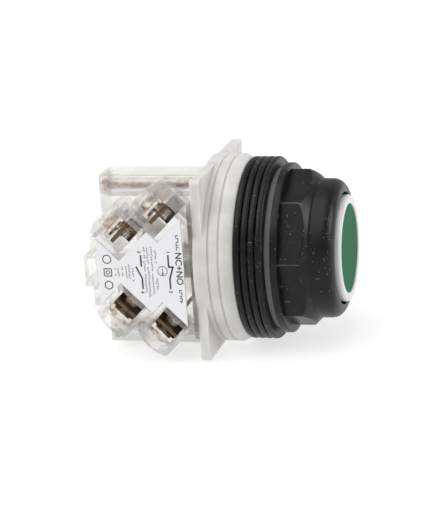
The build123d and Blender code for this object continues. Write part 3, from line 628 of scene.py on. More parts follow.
def lathe(outline: Sequence[Point2], segments: int = 180) -> bpy.types.Mesh:
    """Turn a closed outline about the X axis; points on the axis become one pole.

    Args:
        outline: x and radius of each point, in millimetres.
        segments: faces round the axis.

    Returns:
        A closed mesh in metres.
    """
    form = bmesh.new()
    rings: list[list[bmesh.types.BMVert]] = []
    for x, r in outline:
        if r < ON_AXIS:
            rings.append([form.verts.new((x * MM, 0.0, 0.0))])
            continue
        turns = (FULL_TURN * k / segments for k in range(segments))
        rings.append(
            [form.verts.new((x * MM, r * MM * math.cos(a), r * MM * math.sin(a))) for a in turns]
        )
    for here, ahead in zip(rings, [*rings[1:], rings[0]]):
        for k in range(segments):
            n = (k + 1) % segments
            rear = [here[k % len(here)], here[n % len(here)]]
            face = list(dict.fromkeys([*rear, ahead[n % len(ahead)], ahead[k % len(ahead)]]))
            if len(face) > 2:
                form.faces.new(face)
    bmesh.ops.recalc_face_normals(form, faces=form.faces)
    return baked(form, "turned")


def box_mesh(low: Sequence[float], high: Sequence[float]) -> bpy.types.Mesh:
    """A block between two corners, in millimetres."""
    form = bmesh.new()
    bmesh.ops.create_cube(form, size=1.0)
    for vert in form.verts:
        vert.co = Vector((high[i] if vert.co[i] > 0 else low[i]) * MM for i in range(3))
    return baked(form, "block")


def merged(source: bpy.types.Mesh) -> bpy.types.Mesh:
    """A copy of a CAD mesh with its loose triangles joined and its flat faces whole."""
    form = bmesh.new()
    form.from_mesh(source)
    bmesh.ops.remove_doubles(form, verts=form.verts, dist=WELD)
    bmesh.ops.dissolve_limit(form, angle_limit=FLAT, verts=form.verts, edges=form.edges)
    return baked(form, "merged")


def joined(meshes: Sequence[bpy.types.Mesh]) -> bpy.types.Mesh:
    """Several meshes as one."""
    form = bmesh.new()
    for mesh in meshes:
        form.from_mesh(mesh)
    return baked(form, "joined")


def link(name: str, data: bpy.types.ID) -> bpy.types.Object:
    """Put a mesh, curve, light or camera in the scene as an object at the origin."""
    piece = bpy.data.objects.new(name, data)
    bpy.context.scene.collection.objects.link(piece)
    return piece


def evaluated(piece: bpy.types.Object) -> bpy.types.Mesh:
    """A plain mesh of what an object shows."""
    graph = bpy.context.evaluated_depsgraph_get()
    return bpy.data.meshes.new_from_object(piece.evaluated_get(graph))


def applied(piece: bpy.types.Object) -> None:
    """Turn an object's modifiers into its own plain mesh."""
    mesh = evaluated(piece)
    piece.modifiers.clear()
    piece.data = mesh


def broken_edges(piece: bpy.types.Object, width: float) -> None:
    """Bevel a piece's sharp edges and mark the new faces in its "edge" attribute.

    Args:
        piece: the object to change.
        width: the edge's width in millimetres.
    """
    bevel = piece.modifiers.new("edges", "BEVEL")
    bevel.width = width * MM
    bevel.segments = 2
    bevel.limit_method = "ANGLE"
    bevel.angle_limit = SHARP
    bevel.use_clamp_overlap = True
    bevel.miter_outer = "MITER_ARC"
    # Two empty slots let the bevel tell its own faces from the rest.
    piece.data.materials.clear()
    for _ in range(2):
        piece.data.materials.append(None)
    bevel.material = 1
    applied(piece)
    faces = piece.data.polygons
    marks = [float(face.material_index) for face in faces]
    piece.data.attributes.new("edge", "FLOAT", "FACE").data.foreach_set("value", marks)
    faces.foreach_set("material_index", [0] * len(faces))
    piece.data.materials.clear()


def softened(
    piece: bpy.types.Object, width: float = 0.0, shading: Shading = Shading.CREASED
) -> None:
    """Break a piece's sharp edges and even its normals.

    Args:
        piece: the object to change.
        width: the edge's width in millimetres; none leaves the edges.
        shading: the angle that still shows as a crease.
    """
    if width > 0.0:
        broken_edges(piece, width)
    piece.data.polygons.foreach_set("use_smooth", [True] * len(piece.data.polygons))
    piece.data.set_sharp_from_angle(angle=math.radians(shading.value))
    even = piece.modifiers.new("even", "WEIGHTED_NORMAL")
    even.keep_sharp = True
    applied(piece)


class Workshop:
    """Holds the frame and the finishes, and dresses each piece as it is made."""

    def __init__(self, frame: Mapping[str, Any]) -> None:
        """Build every finish once."""
        self.nodes = frame["nodes"]
        self.materials = {finish.slot: finish.material() for finish in FINISHES}
        self.ink = INK.material()

    def dress(
        self,
        piece: bpy.types.Object,
        slot: str,
        body: str,
        stands_for: Sequence[str] = (),
        material: Optional[bpy.types.Material] = None,
    ) -> bpy.types.Object:
        """Give a finished piece its material, body and CAD nodes.

        Args:
            piece: an object at the origin with its place in its mesh.
            slot: the record's material slot.
            body: the CAD body that it rides on.
            stands_for: the CAD nodes that it replaces.
            material: its material, where that isn't the slot's own.

        Returns:
            The piece.
        """
        piece.data.materials.clear()
        piece.data.materials.append(material or self.materials[slot])
        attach(piece, body)
        if stands_for:
            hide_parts(*stands_for)
        LOG.info("%s: %d faces on %s", piece.name, len(piece.data.polygons), body)
        return piece

    def turned(
        self,
        name: str,
        corners: Sequence[tuple[float, float, float]],
        slot: str,
        body: str,
        stands_for: Sequence[str] = (),
    ) -> bpy.types.Object:
        """Make and dress a piece turned about the button's axis."""
        piece = link(name, lathe(rounded(corners)))
        softened(piece, shading=Shading.SMOOTH)
        return self.dress(piece, slot, body, stands_for)

    def eased(self, node: str, slot: str, body: str, width: float = 0.12) -> bpy.types.Object:
        """Make and dress a CAD node's shape with broken edges.

        Args:
            node: the CAD node that the piece stands for.
            slot: its material slot.
            body: its body.
            width: the broken edge in millimetres.

        Returns:
            The dressed piece.
        """
        piece = link(f"{node}_look", merged(self.nodes[node].data))
        softened(piece, width)
        return self.dress(piece, slot, body, [node])


# ------------------------------------------------------------------ geometry rules


class Rule(NodeMaker):
    """A geometry node tree with named number inputs and one material."""

    def __init__(self, name: str, inputs: Mapping[str, float], takes_mesh: bool = False) -> None:
        """Make the tree, its sockets and its group nodes.

        Args:
            name: the tree's name.
            inputs: named numbers and their values.
            takes_mesh: whether the tree works on its object's own mesh.
        """
        super().__init__(bpy.data.node_groups.new(name, "GeometryNodeTree"))
        face = self.tree.interface
        face.new_socket(name="Geometry", in_out="OUTPUT", socket_type="NodeSocketGeometry")
        if takes_mesh:
            face.new_socket(name="Geometry", in_out="INPUT", socket_type="NodeSocketGeometry")
        self.identifiers: dict[str, str] = {}
        self.values = dict(inputs)
        for label in inputs:
            made = face.new_socket(name=label, in_out="INPUT", socket_type="NodeSocketFloat")
            self.identifiers[label] = made.identifier
        self.group_in = self.node("NodeGroupInput")

    def number(self, label: str) -> Sig:
        """One of the named inputs."""
        return Sig(self, self.group_in.outputs[label])

    def vector(self, x: Value = 0.0, y: Value = 0.0, z: Value = 0.0) -> bpy.types.NodeSocket:
        """A vector from three numbers."""
        return self.node("ShaderNodeCombineXYZ", {}, {0: x, 1: y, 2: z}).outputs[0]

    def circle(self, radius: Value, steps: int) -> bpy.types.NodeSocket:
        """A round curve."""
        inputs = {"Radius": radius, "Resolution": steps}
        return self.node("GeometryNodeCurvePrimitiveCircle", {}, inputs).outputs[0]

    def swept(self, path: Value, section: Value) -> bpy.types.NodeSocket:
        """A closed mesh along a path."""
        inputs = {"Curve": path, "Profile Curve": section, "Fill Caps": True}
        return self.node("GeometryNodeCurveToMesh", {}, inputs).outputs[0]

    def copies(self, points: Value, shape: Value) -> bpy.types.NodeSocket:
        """A copy of a shape on each point."""
        inputs = {"Points": points, "Instance": shape}
        return self.node("GeometryNodeInstanceOnPoints", {}, inputs).outputs[0]

    def finish(self, geometry: Value, material: bpy.types.Material) -> None:
        """End the tree in Realize Instances and Set Material."""
        whole = self.node("GeometryNodeRealizeInstances", {}, {0: geometry}).outputs[0]
        painted = self.node(
            "GeometryNodeSetMaterial", {}, {"Geometry": whole, "Material": material}
        )
        self.node("NodeGroupOutput", {}, {0: painted.outputs[0]})

    def made(self, name: str, source: Optional[bpy.types.Mesh] = None) -> bpy.types.Object:
        """Run the tree once and keep its result as a plain mesh.

        Args:
            name: the new object's name.
            source: the mesh that the tree works on, where it takes one.

        Returns:
            The object, with no modifier left on it.
        """
        piece = link(name, source or bpy.data.meshes.new(name))
        modifier = piece.modifiers.new("rule", "NODES")
        modifier.node_group = self.tree
        for label, value in self.values.items():
            modifier[self.identifiers[label]] = float(value)
        applied(piece)
        return piece


def coil_rule(material: bpy.types.Material, sizes: Mapping[str, float]) -> Rule:
    """A round wire wound about X.

    Args:
        material: the wire's material.
        sizes: Start, Depth, Length, Radius and Wire in metres, and Turns.

    Returns:
        The rule, ready to be made.
    """
    rule = Rule("coil", sizes)
    spiral = rule.node(
        "GeometryNodeCurveSpiral",
        {},
        {
            "Resolution": 28,
            "Rotations": rule.number("Turns"),
            **{f"{end} Radius": rule.number("Radius") for end in ("Start", "End")},
            "Height": rule.number("Length"),
        },
    )
    laid = rule.node(
        "GeometryNodeTransform",
        {},
        {
            "Geometry": spiral.outputs[0],
            "Translation": rule.vector(rule.number("Start"), rule.number("Depth"), 0.0),
            "Rotation": ALONG_X,
        },
    )
    wire = rule.swept(laid.outputs[0], rule.circle(rule.number("Wire"), 10))
    rule.finish(wire, material)
    return rule


def coil_sizes(
    start: float, length: float, radius: float, wire: float, turns: float, depth: float = 0.0
) -> dict[str, float]:
    """The inputs of a coil that fits, wire and all, in a length along X.

    Args:
        start: the lowest X, in millimetres.
        length: the coil's whole length.
        radius: how far the wire's middle is from the coil's axis.
        wire: the wire's own radius.
        turns: how often it goes round.
        depth: Y of the coil's axis.

    Returns:
        The named inputs of a coil rule.
    """
    return {
        "Start": (start + wire) * MM, "Depth": depth * MM, "Length": (length - 2.0 * wire) * MM,
        "Radius": radius * MM, "Wire": wire * MM, "Turns": float(turns),
    }


def stack_rule(material: bpy.types.Material, sizes: Mapping[str, float]) -> Rule:
    """Gasket rings with rounded rims, one behind the other along X.

    Args:
        material: the rubber.
        sizes: Outer, Inner, Thickness, Pitch and Rim, in metres, and Count.

    Returns:
        The rule, ready to be made.
    """
    rule = Rule("gasket_stack", sizes)
    wide = rule.number("Outer") - rule.number("Inner")
    section = rule.node(
        "GeometryNodeCurvePrimitiveQuadrilateral",
        {"mode": "RECTANGLE"},
        {"Width": wide, "Height": rule.number("Thickness")},
    )
    eased = rule.node(
        "GeometryNodeFilletCurve",
        {"mode": "POLY"},
        {
            "Curve": section.outputs[0],
            "Count": 6,
            "Radius": rule.number("Rim"),
            "Limit Radius": True,
        },
    )
    middle = (rule.number("Outer") + rule.number("Inner")) * 0.5
    ring = rule.swept(rule.circle(middle, 240), eased.outputs[0])
    laid = rule.node("GeometryNodeTransform", {}, {"Geometry": ring, "Rotation": ALONG_X})
    places = rule.node(
        "GeometryNodeMeshLine",
        {"mode": "OFFSET"},
        {
            "Count": rule.number("Count"),
            "Start Location": rule.vector(rule.number("Pitch") * 0.5),
            "Offset": rule.vector(rule.number("Pitch")),
        },
    )
    rule.finish(rule.copies(places.outputs[0], laid.outputs[0]), material)
    return rule


def facet_rule(material: bpy.types.Material, sizes: Mapping[str, float]) -> Rule:
    """Cuts a ring of flats into a turned piece, between two planes across X.

    Args:
        material: the piece's material.
        sizes: Flat, Floor and Soft in metres, From, To and Worn along X, Sides and Turn.

    Returns:
        The rule, ready to be made on a turned mesh.
    """
    rule = Rule("flats", sizes, takes_mesh=True)
    position = rule.node("GeometryNodeInputPosition").outputs[0]
    parts = rule.node("ShaderNodeSeparateXYZ", {}, {0: position})
    x, y, z = (Sig(rule, parts.outputs[i]) for i in range(3))
    radius = rule.math("SQRT", y * y + z * z)
    sector = FULL_TURN / rule.number("Sides")
    # Whole turns keep the angle positive for the remainder.
    angle = rule.math("ARCTAN2", z, y) - rule.number("Turn") + 4.0 * FULL_TURN
    off_corner = rule.math("MODULO", angle, sector) - sector * 0.5
    flat = rule.number("Flat") / rule.math("COSINE", off_corner)
    cut = rule.math("SMOOTH_MIN", radius, flat, rule.number("Soft"))
    kept = rule.math("SMOOTH_MAX", cut, rule.number("Floor"), rule.number("Soft") * 1.6)
    inside = (x > rule.number("From")) * (x < rule.number("To")) * (
        radius > rule.number("Floor") - rule.number("Soft")
    )
    scale = inside * (kept / radius - 1.0) + 1.0
    corner = (sector * 0.5 - rule.math("ABSOLUTE", off_corner)) * rule.number("Flat")
    worn = rule.node(
        "GeometryNodeStoreNamedAttribute",
        {"data_type": "FLOAT", "domain": "POINT"},
        {
            "Geometry": rule.group_in.outputs["Geometry"],
            "Name": "worn",
            "Value": (1.0 - corner.ease(0.0, EDGE_WEAR * MM)) * inside * (x < rule.number("Worn")),
        },
    )
    moved = rule.node(
        "GeometryNodeSetPosition",
        {},
        {"Geometry": worn.outputs[0], "Position": rule.vector(x, y * scale, z * scale)},
    )
    rule.finish(moved.outputs[0], material)
    return rule


def scatter_rule(material: bpy.types.Material, shape: bpy.types.Object) -> Rule:
    """Copies a small piece to each point of a mesh.

    Args:
        material: the copies' material.
        shape: the piece that is copied.

    Returns:
        The rule, ready to be made on a mesh of points.
    """
    rule = Rule("copies", {}, takes_mesh=True)
    source = rule.node(
        "GeometryNodeObjectInfo", {"transform_space": "ORIGINAL"}, {"Object": shape}
    )
    places = rule.group_in.outputs["Geometry"]
    rule.finish(rule.copies(places, source.outputs["Geometry"]), material)
    return rule


# -------------------------------------------------------------------- the operator


@dataclass
class Operator:
    """The moulded body, the stack on its neck, the ring nut and the button."""

    shop: Workshop
    neck_bore: float = 15.35
    gasket_r: float = 23.1
    gasket_pitch: float = 1.8
    gasket_thickness: float = 1.76
    gasket_rim: float = 0.74
    washer: tuple[float, float, float] = (7.2, 8.85, 20.5)
    nut_x: tuple[float, float, float, float] = (8.85, 10.6, 15.15, 17.85)
    nut_flange_r: float = 21.5
    corner_r: float = 20.2
    nut_turn: float = math.radians(40.5)
    guard: tuple[float, float] = (23.5, 17.5)
    guard_bore: float = 14.1
    seal_front: float = 16.2
    cap: tuple[float, float, float] = (12.9, 24.7, 13.45)
    disc: tuple[float, float, float] = (23.2, 24.4, 11.18)
    spring: tuple[float, float] = (1.5, 15.0)
    travel: float = 5.5

    def build(self) -> None:
        """Make every piece of the operator."""
        for node, slot, body, edge in (
            ("operator_body", "white_nylon", "frame", 0.22),
            ("threaded_inserts", "brass", "frame", 0.08),
            ("stem_seal", "black_rubber", "frame", 0.1),
        ):
            self.shop.eased(node, slot, body, edge)
        self._stack()
        self._nut()
        self._button()

    def _stack(self) -> None:
        """Make the ribbed gaskets, the washer and the wiper at the neck's mouth."""
        sizes = {
            "Outer": self.gasket_r * MM,
            "Inner": self.neck_bore * MM,
            "Thickness": self.gasket_thickness * MM,
            "Pitch": self.gasket_pitch * MM,
            "Rim": self.gasket_rim * MM,
            "Count": 4.0,
        }
        piece = stack_rule(self.shop.materials["black_rubber"], sizes).made("gasket_stack")
        softened(piece)
        nodes = [f"panel_gasket_{n}" for n in range(1, 5)]
        self.shop.dress(piece, "black_rubber", "frame", nodes)
        rear, front, radius = self.washer
        self.shop.turned(
            "thrust_washer_look",
            [(rear, self.neck_bore, 0.15), (rear, radius, 0.2), (front, radius, 0.2),
             (front, self.neck_bore, 0.15)],
            "grey_washer", "washer", ["thrust_washer"],
        )
        cap_bore = self.cap[2] + 0.05
        self.shop.turned(
            "cap_seal_look",
            [(15.0, cap_bore + 0.3, 0.1), (15.0, 15.05, 0.2), (self.seal_front, 15.05, 0.2),
             (self.seal_front, cap_bore + 0.5, 0.1), (15.8, cap_bore, 0.06),
             (15.5, cap_bore, 0.06)],
            "black_rubber", "frame", ["cap_seal"],
        )

    def _nut(self) -> None:
        """Turn the ring nut, then cut its eight flats."""
        rear, octagon, cone, waist = self.nut_x
        front, guard_r = self.guard
        corners = [
            (rear, self.neck_bore, 0.2),
            (rear, self.nut_flange_r, 0.25),
            (octagon, self.nut_flange_r, 0.3),
            (octagon, self.corner_r + 0.25, 0.15),
            (cone, self.corner_r, 0.5),
            (waist - 0.1, guard_r + 0.05, 1.2),
            (front, guard_r, 3.0),
            (front, self.guard_bore, 0.35),
            (self.seal_front, self.guard_bore, 0.15),
            (self.seal_front, self.neck_bore, 0.15),
        ]
        outline = divided(rounded(corners, 8), 0.12, (octagon, waist + 0.8))
        sizes = {
            "Flat": self.corner_r * math.cos(math.pi / 8.0) * MM,
            "Floor": guard_r * MM,
            "Soft": 0.16 * MM,
            "From": (octagon - 0.01) * MM,
            "To": (waist + 0.6) * MM,
            "Worn": (cone + 0.7) * MM,
            "Sides": 8.0,
            "Turn": self.nut_turn,
        }
        rule = facet_rule(self.shop.materials["black_plastic"], sizes)
        piece = rule.made("ring_nut_look", lathe(outline, 640))
        softened(piece)
        self.shop.dress(piece, "black_plastic", "nut", ["ring_nut"])

    def _button(self) -> None:
        """Make the cap, its disc, the stem, the push plate and the return spring."""
        rear, front, radius = self.cap
        disc_rear, disc_front, disc_r = self.disc
        self.shop.turned(
            "button_cap_look",
            [
                (disc_rear, 0.0, 0.0), (disc_rear, 11.2, 0.05), (front, 11.2, 0.3),
                (front, radius, 0.7), (rear, radius, 0.3), (rear, 12.0, 0.2), (21.9, 12.0, 0.4),
                (21.9, 5.6, 0.3), (16.2, 5.6, 0.2), (16.2, 8.2, 0.15), (15.0, 8.2, 0.15),
                (15.0, 4.02, 0.1), (21.88, 4.02, 0.1), (21.88, 0.0, 0.0),
            ],
            "white_cap", "push_button", ["button_cap"],
        )
        self.shop.turned(
            "color_insert_look",
            [
                (disc_rear + 0.01, 0.0, 0.0), (disc_rear + 0.01, disc_r, 0.05),
                (disc_front, disc_r, 0.25), (disc_front + 0.04, 6.0, 0.0),
                (disc_front + 0.05, 0.0, 0.0),
            ],
            "green_insert", "push_button", ["color_insert"],
        )
        self.shop.eased("button_stem", "stem_plastic", "push_button", 0.2)
        self.shop.eased("push_plate", "stem_plastic", "push_button", 0.2)
        self.shop.eased("push_plate_screw", "zinc_steel", "push_button", 0.1)
        start, end = self.spring
        coil = coil_sizes(start, end - start, radius=7.2, wire=0.45, turns=6)
        piece = coil_rule(self.shop.materials["spring_steel"], coil).made("return_spring_look")
        softened(piece, shading=Shading.SMOOTH)
        self.shop.dress(piece, "spring_steel", "frame", ["return_spring"])
        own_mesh(piece)


# --------------------------------------------------------------- the contact block


@dataclass(frozen=True)
class Spring:
    """A fine spring of the contact block."""

    node: str
    body: str
    start: float
    length: float
    depth: float
    radius: float
    turns: float
    joint: Optional[str] = None
    anchor: float = 0.0
    travel: float = 0.0


@dataclass
class ContactBlock:
    """The clear block with its label, carrier, contacts and terminals."""

    shop: Workshop
    centres: tuple[tuple[float, float], ...] = (
        (-18.6, 15.0), (-18.6, -15.0), (-28.9, 10.2), (-28.9, -10.2),
    )
    screw_y: float = -17.9
    head_start: float = 2.22
    head: tuple[float, float] = (3.0, 2.1)
    shank: tuple[float, float] = (1.75, 5.0)
    pins: tuple[tuple[float, float], ...] = (
        (-34.15, 19.9), (-34.15, -19.9), (-12.7, 19.9), (-12.7, -19.9),
    )
    springs: tuple[Spring, ...] = (
        Spring("carrier_spring", "frame", -34.9, 12.7, -11.6, 1.3, 9, "button_press", -34.9, 5.5),
        Spring("nc_bridge_spring", "carrier", -19.6, 4.6, -7.1, 1.2, 5),
        Spring("no_bridge_spring", "carrier", -26.2, 4.6, -7.1, 1.2, 5, "button_press", -21.6, 2.0),
    )
    fine_wire: float = 0.2
    thread_depth: float = 0.28
    slot: tuple[float, float] = (1.1, 0.45)

    def build(self) -> None:
        """Make every piece of the block."""
        eased = self.shop.eased
        eased("block_base", "clear_plastic", "frame", 0.22)
        eased("block_cover", "clear_plastic", "frame", 0.2)
        eased("label_plate", "label_card", "frame", 0.06)
        eased("block_screws", "zinc_steel", "frame", 0.12)
        eased("contact_carrier", "carrier_plastic", "carrier", 0.15)
        for name in ("nc", "no"):
            eased(f"{name}_bridge", "brass", f"{name}_contact", 0.08)
            eased(f"{name}_bridge_tips", "silver", f"{name}_contact", 0.08)
        eased("fixed_tips", "silver", "frame", 0.08)
        self._pins()
        for spring in self.springs:
            self._spring(spring)
        for number, centre in enumerate(self.centres, start=1):
            eased(f"terminal_bar_{number}", "bar_metal", "frame", 0.1)
            eased(f"saddle_clamp_{number}", "zinc_steel", f"clamp_{number}", 0.14)
            self._screw(number, centre)

    def _pins(self) -> None:
        """Copy the round-headed pin to the lid's four corners."""
        profile = [(0.0, 0.0, 0.0), (0.0, 1.12, 0.1), (2.1, 1.12, 0.25), (2.1, 0.0, 0.0)]
        shape = link("pin_shape", lathe(rounded(profile), 48))
        shape.data.transform(Matrix.Rotation(-math.pi / 2.0, 4, "Z"))
        softened(shape)
        points = bpy.data.meshes.new("pin_places")
        points.from_pydata([(x * MM, -10.2 * MM, z * MM) for x, z in self.pins], [], [])
        rule = scatter_rule(self.shop.materials["clear_plastic"], shape)
        piece = rule.made("cover_pins_look", points)
        bpy.data.objects.remove(shape)
        self.shop.dress(piece, "clear_plastic", "frame", ["cover_pins"])

    def _spring(self, spring: Spring) -> None:
        """Wind one fine spring."""
        sizes = coil_sizes(
            spring.start, spring.length, spring.radius, self.fine_wire, spring.turns, spring.depth
        )
        rule = coil_rule(self.shop.materials["spring_steel"], sizes)
        piece = rule.made(f"{spring.node}_look")
        softened(piece, shading=Shading.SMOOTH)
        self.shop.dress(piece, "spring_steel", spring.body, [spring.node])
        if spring.joint:
            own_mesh(piece)

    def _screw(self, number: int, centre: Point2) -> None:
        """Turn a terminal screw, cut its slot and wind its thread.

        Args:
            number: the terminal's number.
            centre: X and Z of the pocket's centre.
        """
        head_r, head_t = self.head
        shank_r, shank_l = self.shank
        top = self.head_start + head_t
        end = self.head_start - shank_l
        core = shank_r - self.thread_depth
        profile = [
            (end, 0.0, 0.0), (end, core - 0.35, 0.1), (end + 0.4, core, 0.1),
            (self.head_start, core, 0.1), (self.head_start, head_r, 0.2),
            (top - 0.35, head_r, 0.45), (top, head_r - 0.75, 0.5), (top, 0.0, 0.0),
        ]
        piece = link(f"terminal_screw_{number}_look", lathe(rounded(profile), 72))
        deep, half = self.slot
        past = head_r + 1.0
        slot = link("slot_cutter", box_mesh((top - deep, -past, -half), (top + 1.0, past, half)))
        cut = piece.modifiers.new("slot", "BOOLEAN")
        cut.object = slot
        cut.operation = "DIFFERENCE"
        cut.solver = "EXACT"
        applied(piece)
        bpy.data.objects.remove(slot)
        softened(piece, 0.07)
        turn = Matrix.Rotation(math.radians(20.0 * number + 45.0), 4, "X")
        piece.data.transform(turn)
        thread = coil_sizes(end + 0.1, shank_l - 0.1, core + 0.03, self.fine_wire, turns=7)
        ridge = coil_rule(self.shop.materials["zinc_steel"], thread).made("thread_shape")
        mesh = joined([piece.data, ridge.data])
        bpy.data.objects.remove(ridge)
        x, z = centre
        side = 1.0 if z > 0 else -1.0
        out = Vector((-1.0, 0.0, side)).normalized()
        across = Vector((0.0, -1.0, 0.0))
        basis = Matrix((out, across, out.cross(across))).transposed().to_4x4()
        mesh.transform(Matrix.Translation(Vector((x, self.screw_y, z)) * MM) @ basis)
        piece.data = mesh
        softened(piece)
        self.shop.dress(piece, "zinc_steel", f"screw_{number}", [f"terminal_screw_{number}"])


@dataclass
class LabelPrint:
    """Generic print on the label: circuit symbols, numerals and plain marks."""

    shop: Workshop
    face_y: float = -22.6
    ink_height: float = 0.02
    root: float = 0.01
    line: float = 0.42
    seed: int = 7

    def build(self) -> None:
        """Draw everything and make it one piece of ink."""
        meshes = [*self._symbols(), *self._marks(), *self._rows(), *self._numerals()]
        piece = link("label_print", joined(meshes))
        self.shop.dress(piece, "label_card", "frame", material=self.shop.ink)

    def _plate(self, outline: Sequence[Point2]) -> bpy.types.Mesh:
        """A thin plate of ink with the given outline in X and Z."""
        form = bmesh.new()
        rear = (self.face_y + self.root) * MM
        low = [form.verts.new((x * MM, rear, z * MM)) for x, z in outline]
        base = form.faces.new(low)
        grown = bmesh.ops.extrude_face_region(form, geom=[base])
        top = [g for g in grown["geom"] if isinstance(g, bmesh.types.BMVert)]
        bmesh.ops.translate(form, verts=top, vec=(0.0, -(self.ink_height + self.root) * MM, 0.0))
        bmesh.ops.recalc_face_normals(form, faces=form.faces)
        return baked(form, "ink")

    def _stroke(self, start: Point2, end: Point2, width: float) -> bpy.types.Mesh:
        """A straight stroke of ink."""
        along = Vector(end) - Vector(start)
        side = Vector((-along.y, along.x)).normalized() * width / 2.0
        ends = (Vector(start) + side, Vector(start) - side, Vector(end) - side, Vector(end) + side)
        return self._plate([(p.x, p.y) for p in ends])

    def _ring(
        self, centre: Point2, radius: float, width: float, sides: int = 40
    ) -> list[bpy.types.Mesh]:
        """A closed band of ink, round or with a few sides."""
        spots = [
            (centre[0] + radius * math.cos(a), centre[1] + radius * math.sin(a))
            for a in (FULL_TURN * (k + 0.5) / sides for k in range(sides + 1))
        ]
        return [self._stroke(a, b, width) for a, b in zip(spots, spots[1:])]

    def _symbols(self) -> list[bpy.types.Mesh]:
        """The two contact symbols and the actuator's arrow."""
        heavy = self.line
        lines = [
            ((-16.2, 4.6), (-16.2, 1.5)), ((-16.4, 1.5), (-14.9, 1.5)),
            ((-15.1, 1.6), (-16.1, -1.5)), ((-16.1, -1.4), (-16.1, -4.2)),
            ((-23.2, 4.5), (-23.2, 1.5)), ((-24.6, 1.5), (-23.2, -1.5)),
            ((-23.2, -1.4), (-23.2, -4.3)),
        ]
        strokes = [self._stroke(a, b, heavy) for a, b in lines]
        strokes += self._ring((-17.85, 0.45), 1.2, 0.16)
        strokes.append(self._stroke((-17.85, 1.2), (-17.85, -0.3), 0.16))
        strokes.append(self._plate([(-18.2, -0.1), (-17.85, -0.75), (-17.5, -0.1)]))
        return strokes

    def _marks(self) -> list[bpy.types.Mesh]:
        """Three plain marks at the label's rear edge."""
        marks = self._ring((-32.0, 3.3), 1.05, 0.24)
        marks += self._ring((-32.0, -0.1), 1.35, 0.24, 4)
        marks += self._ring((-32.0, -3.4), 1.1, 0.24, 6)
        marks += self._ring((-32.0, -0.1), 0.45, 0.2, 24)
        return marks

    def _rows(self) -> list[bpy.types.Mesh]:
        """Rows of short dashes where a maker prints its ratings."""
        dice = random.Random(self.seed)
        rows = [
            (-13.6, 9.6, 6.0, 0.8), (-13.6, -3.6, -7.4, 0.8), (-19.4, 5.6, 2.4, 0.5),
            (-19.4, -1.6, -5.0, 0.5), (-20.4, 6.6, -5.8, 0.5), (-21.4, 6.9, -6.6, 0.5),
            (-22.3, 6.4, -4.9, 0.5), (-25.5, 2.2, -2.2, 0.45), (-26.4, 1.9, -1.9, 0.45),
            (-27.2, 2.1, -1.6, 0.45), (-28.2, 1.4, -1.3, 0.45), (-29.2, 0.8, -1.0, 0.45),
            (-30.0, 0.9, -0.9, 0.45),
        ]
        strokes: list[bpy.types.Mesh] = []
        for x, top, bottom, height in rows:
            z = top
            while z > bottom:
                length = dice.uniform(0.22, 0.5) * height / 0.45
                tall = height * dice.uniform(0.75, 1.0)
                if dice.random() < 0.86:
                    weight = 0.13 if height < 0.6 else 0.2
                    strokes.append(self._stroke((x - tall / 2, z), (x + tall / 2, z), weight))
                    cross = x + dice.choice((-0.4, 0.0, 0.4)) * tall
                    strokes.append(self._stroke((cross, z), (cross, z - length), weight))
                z -= length + 0.2
        return strokes

    def _numerals(self) -> list[bpy.types.Mesh]:
        """The terminals' numbers and the two contact kinds, read from the top down."""
        words = [
            ("1", -16.1, 5.3, 1.15), ("2", -16.1, -4.9, 1.15), ("3", -23.6, 5.3, 1.15),
            ("4", -23.4, -5.1, 1.15), ("NC+NO", -13.65, 1.1, 2.3),
        ]
        read = Matrix(((0, 1, 0), (0, 0, -1), (-1, 0, 0))).to_4x4()
        meshes = []
        for text, x, z, size in words:
            curve = bpy.data.curves.new("glyphs", "FONT")
            curve.body = text
            curve.size = size * MM
            curve.align_x = "CENTER"
            curve.align_y = "CENTER"
            curve.extrude = (self.ink_height + self.root) / 2.0 * MM
            curve.offset = 0.035 * MM
            holder = link("glyphs", curve)
            mesh = evaluated(holder)
            bpy.data.objects.remove(holder)
            place = Vector((x, self.face_y - self.ink_height / 2.0, z)) * MM
            mesh.transform(Matrix.Translation(place) @ read)
            meshes.append(mesh)
        return meshes


# --------------------------------------------------------------------- the studio


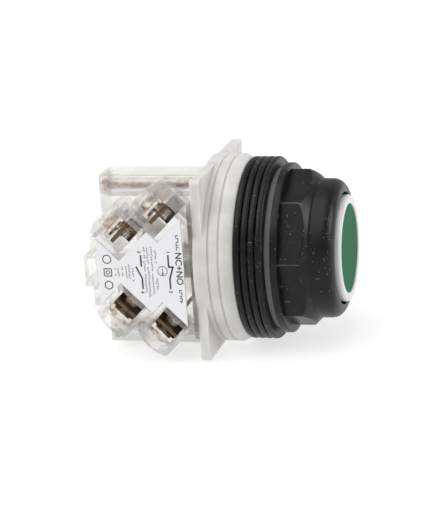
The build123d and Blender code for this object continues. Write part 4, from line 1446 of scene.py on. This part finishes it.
@dataclass
class Studio:
    """The pale floor, the soft lights and the camera."""

    azimuth: float = math.radians(15.618)
    elevation: float = math.radians(16.727)
    roll: float = math.radians(-3.879)
    distance: float = 0.4716
    target: tuple[float, float, float] = (-0.00924, 0.0, -0.001754)
    lens: float = 131.13
    world_strength: float = 0.5
    sun_strength: float = 2.0
    floor_gap: float = 0.02
    floor_reach: float = 3000.0

    def build(self) -> None:
        """Make the floor, the world, the lights and the camera."""
        self._world()
        self._floor()
        # An even wide light from above keeps the floor white.
        sky = bpy.data.lights.new("sky", "SUN")
        sky.angle = math.radians(70.0)
        self._lit(sky, (-0.35, -0.3, 1.0), self.sun_strength)
        for name, place, size, power in (
            ("key", (-0.8, -0.5, 0.75), 0.4, 2.0),
            ("right", (0.7, 0.1, 0.3), 0.35, 2.4),
        ):
            soft = bpy.data.lights.new(name, "AREA")
            soft.size = size
            self._lit(soft, place, power)
        self._camera()

    def _world(self) -> None:
        """A plain white surround."""
        world = bpy.data.worlds.new("studio")
        world.use_nodes = True
        ground = world.node_tree.nodes["Background"]
        ground.inputs[0].default_value = (1.0, 1.0, 1.0, 1.0)
        ground.inputs[1].default_value = self.world_strength
        scene = bpy.context.scene
        scene.world = world
        scene.view_settings.view_transform = "Standard"

    def _floor(self) -> None:
        """A wide sheet under the object's lowest point."""
        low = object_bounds()[0][2] / MM - self.floor_gap
        reach = self.floor_reach
        floor = link("floor", box_mesh((-reach, -reach, low - 5.0), (reach, reach, low)))
        softened(floor, 1.0)
        floor.data.materials.append(FLOOR.material())
        floor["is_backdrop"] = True

    @staticmethod
    def _lit(lamp: bpy.types.Light, place: tuple[float, float, float], power: float) -> None:
        """Put a light in its place, facing the object."""
        lamp.energy = power
        holder = link(lamp.name, lamp)
        holder.location = place
        holder.rotation_euler = Vector(place).to_track_quat("Z", "Y").to_euler()

    def _camera(self) -> None:
        """The camera, turned about its own line of sight by the roll."""
        a, e = self.azimuth, self.elevation
        back = Vector((math.sin(a) * math.cos(e), -math.cos(a) * math.cos(e), math.sin(e)))
        right = Vector((math.cos(a), math.sin(a), 0.0))
        up = back.cross(right)
        c, s = math.cos(self.roll), math.sin(self.roll)
        axes = Matrix((right * c + up * s, up * c - right * s, back)).transposed()
        lens = bpy.data.cameras.new("camera")
        lens.lens = self.lens
        lens.sensor_width = 36.0
        lens.sensor_fit = "AUTO"
        lens.clip_start = 0.01
        lens.dof.use_dof = False
        holder = link("camera", lens)
        place = Vector(self.target) + back * self.distance
        holder.matrix_world = Matrix.Translation(place) @ axes.to_4x4()
        bpy.context.scene.camera = holder


def main() -> None:
    """Build the pieces in order."""
    logging.basicConfig(level=logging.INFO, format="%(name)s %(message)s")
    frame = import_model()
    shop = Workshop(frame)
    for part in (Operator(shop), ContactBlock(shop), LabelPrint(shop)):
        part.build()
        LOG.info("%s is ready", type(part).__name__)
    Studio().build()


if __name__ == "__main__":
    main()
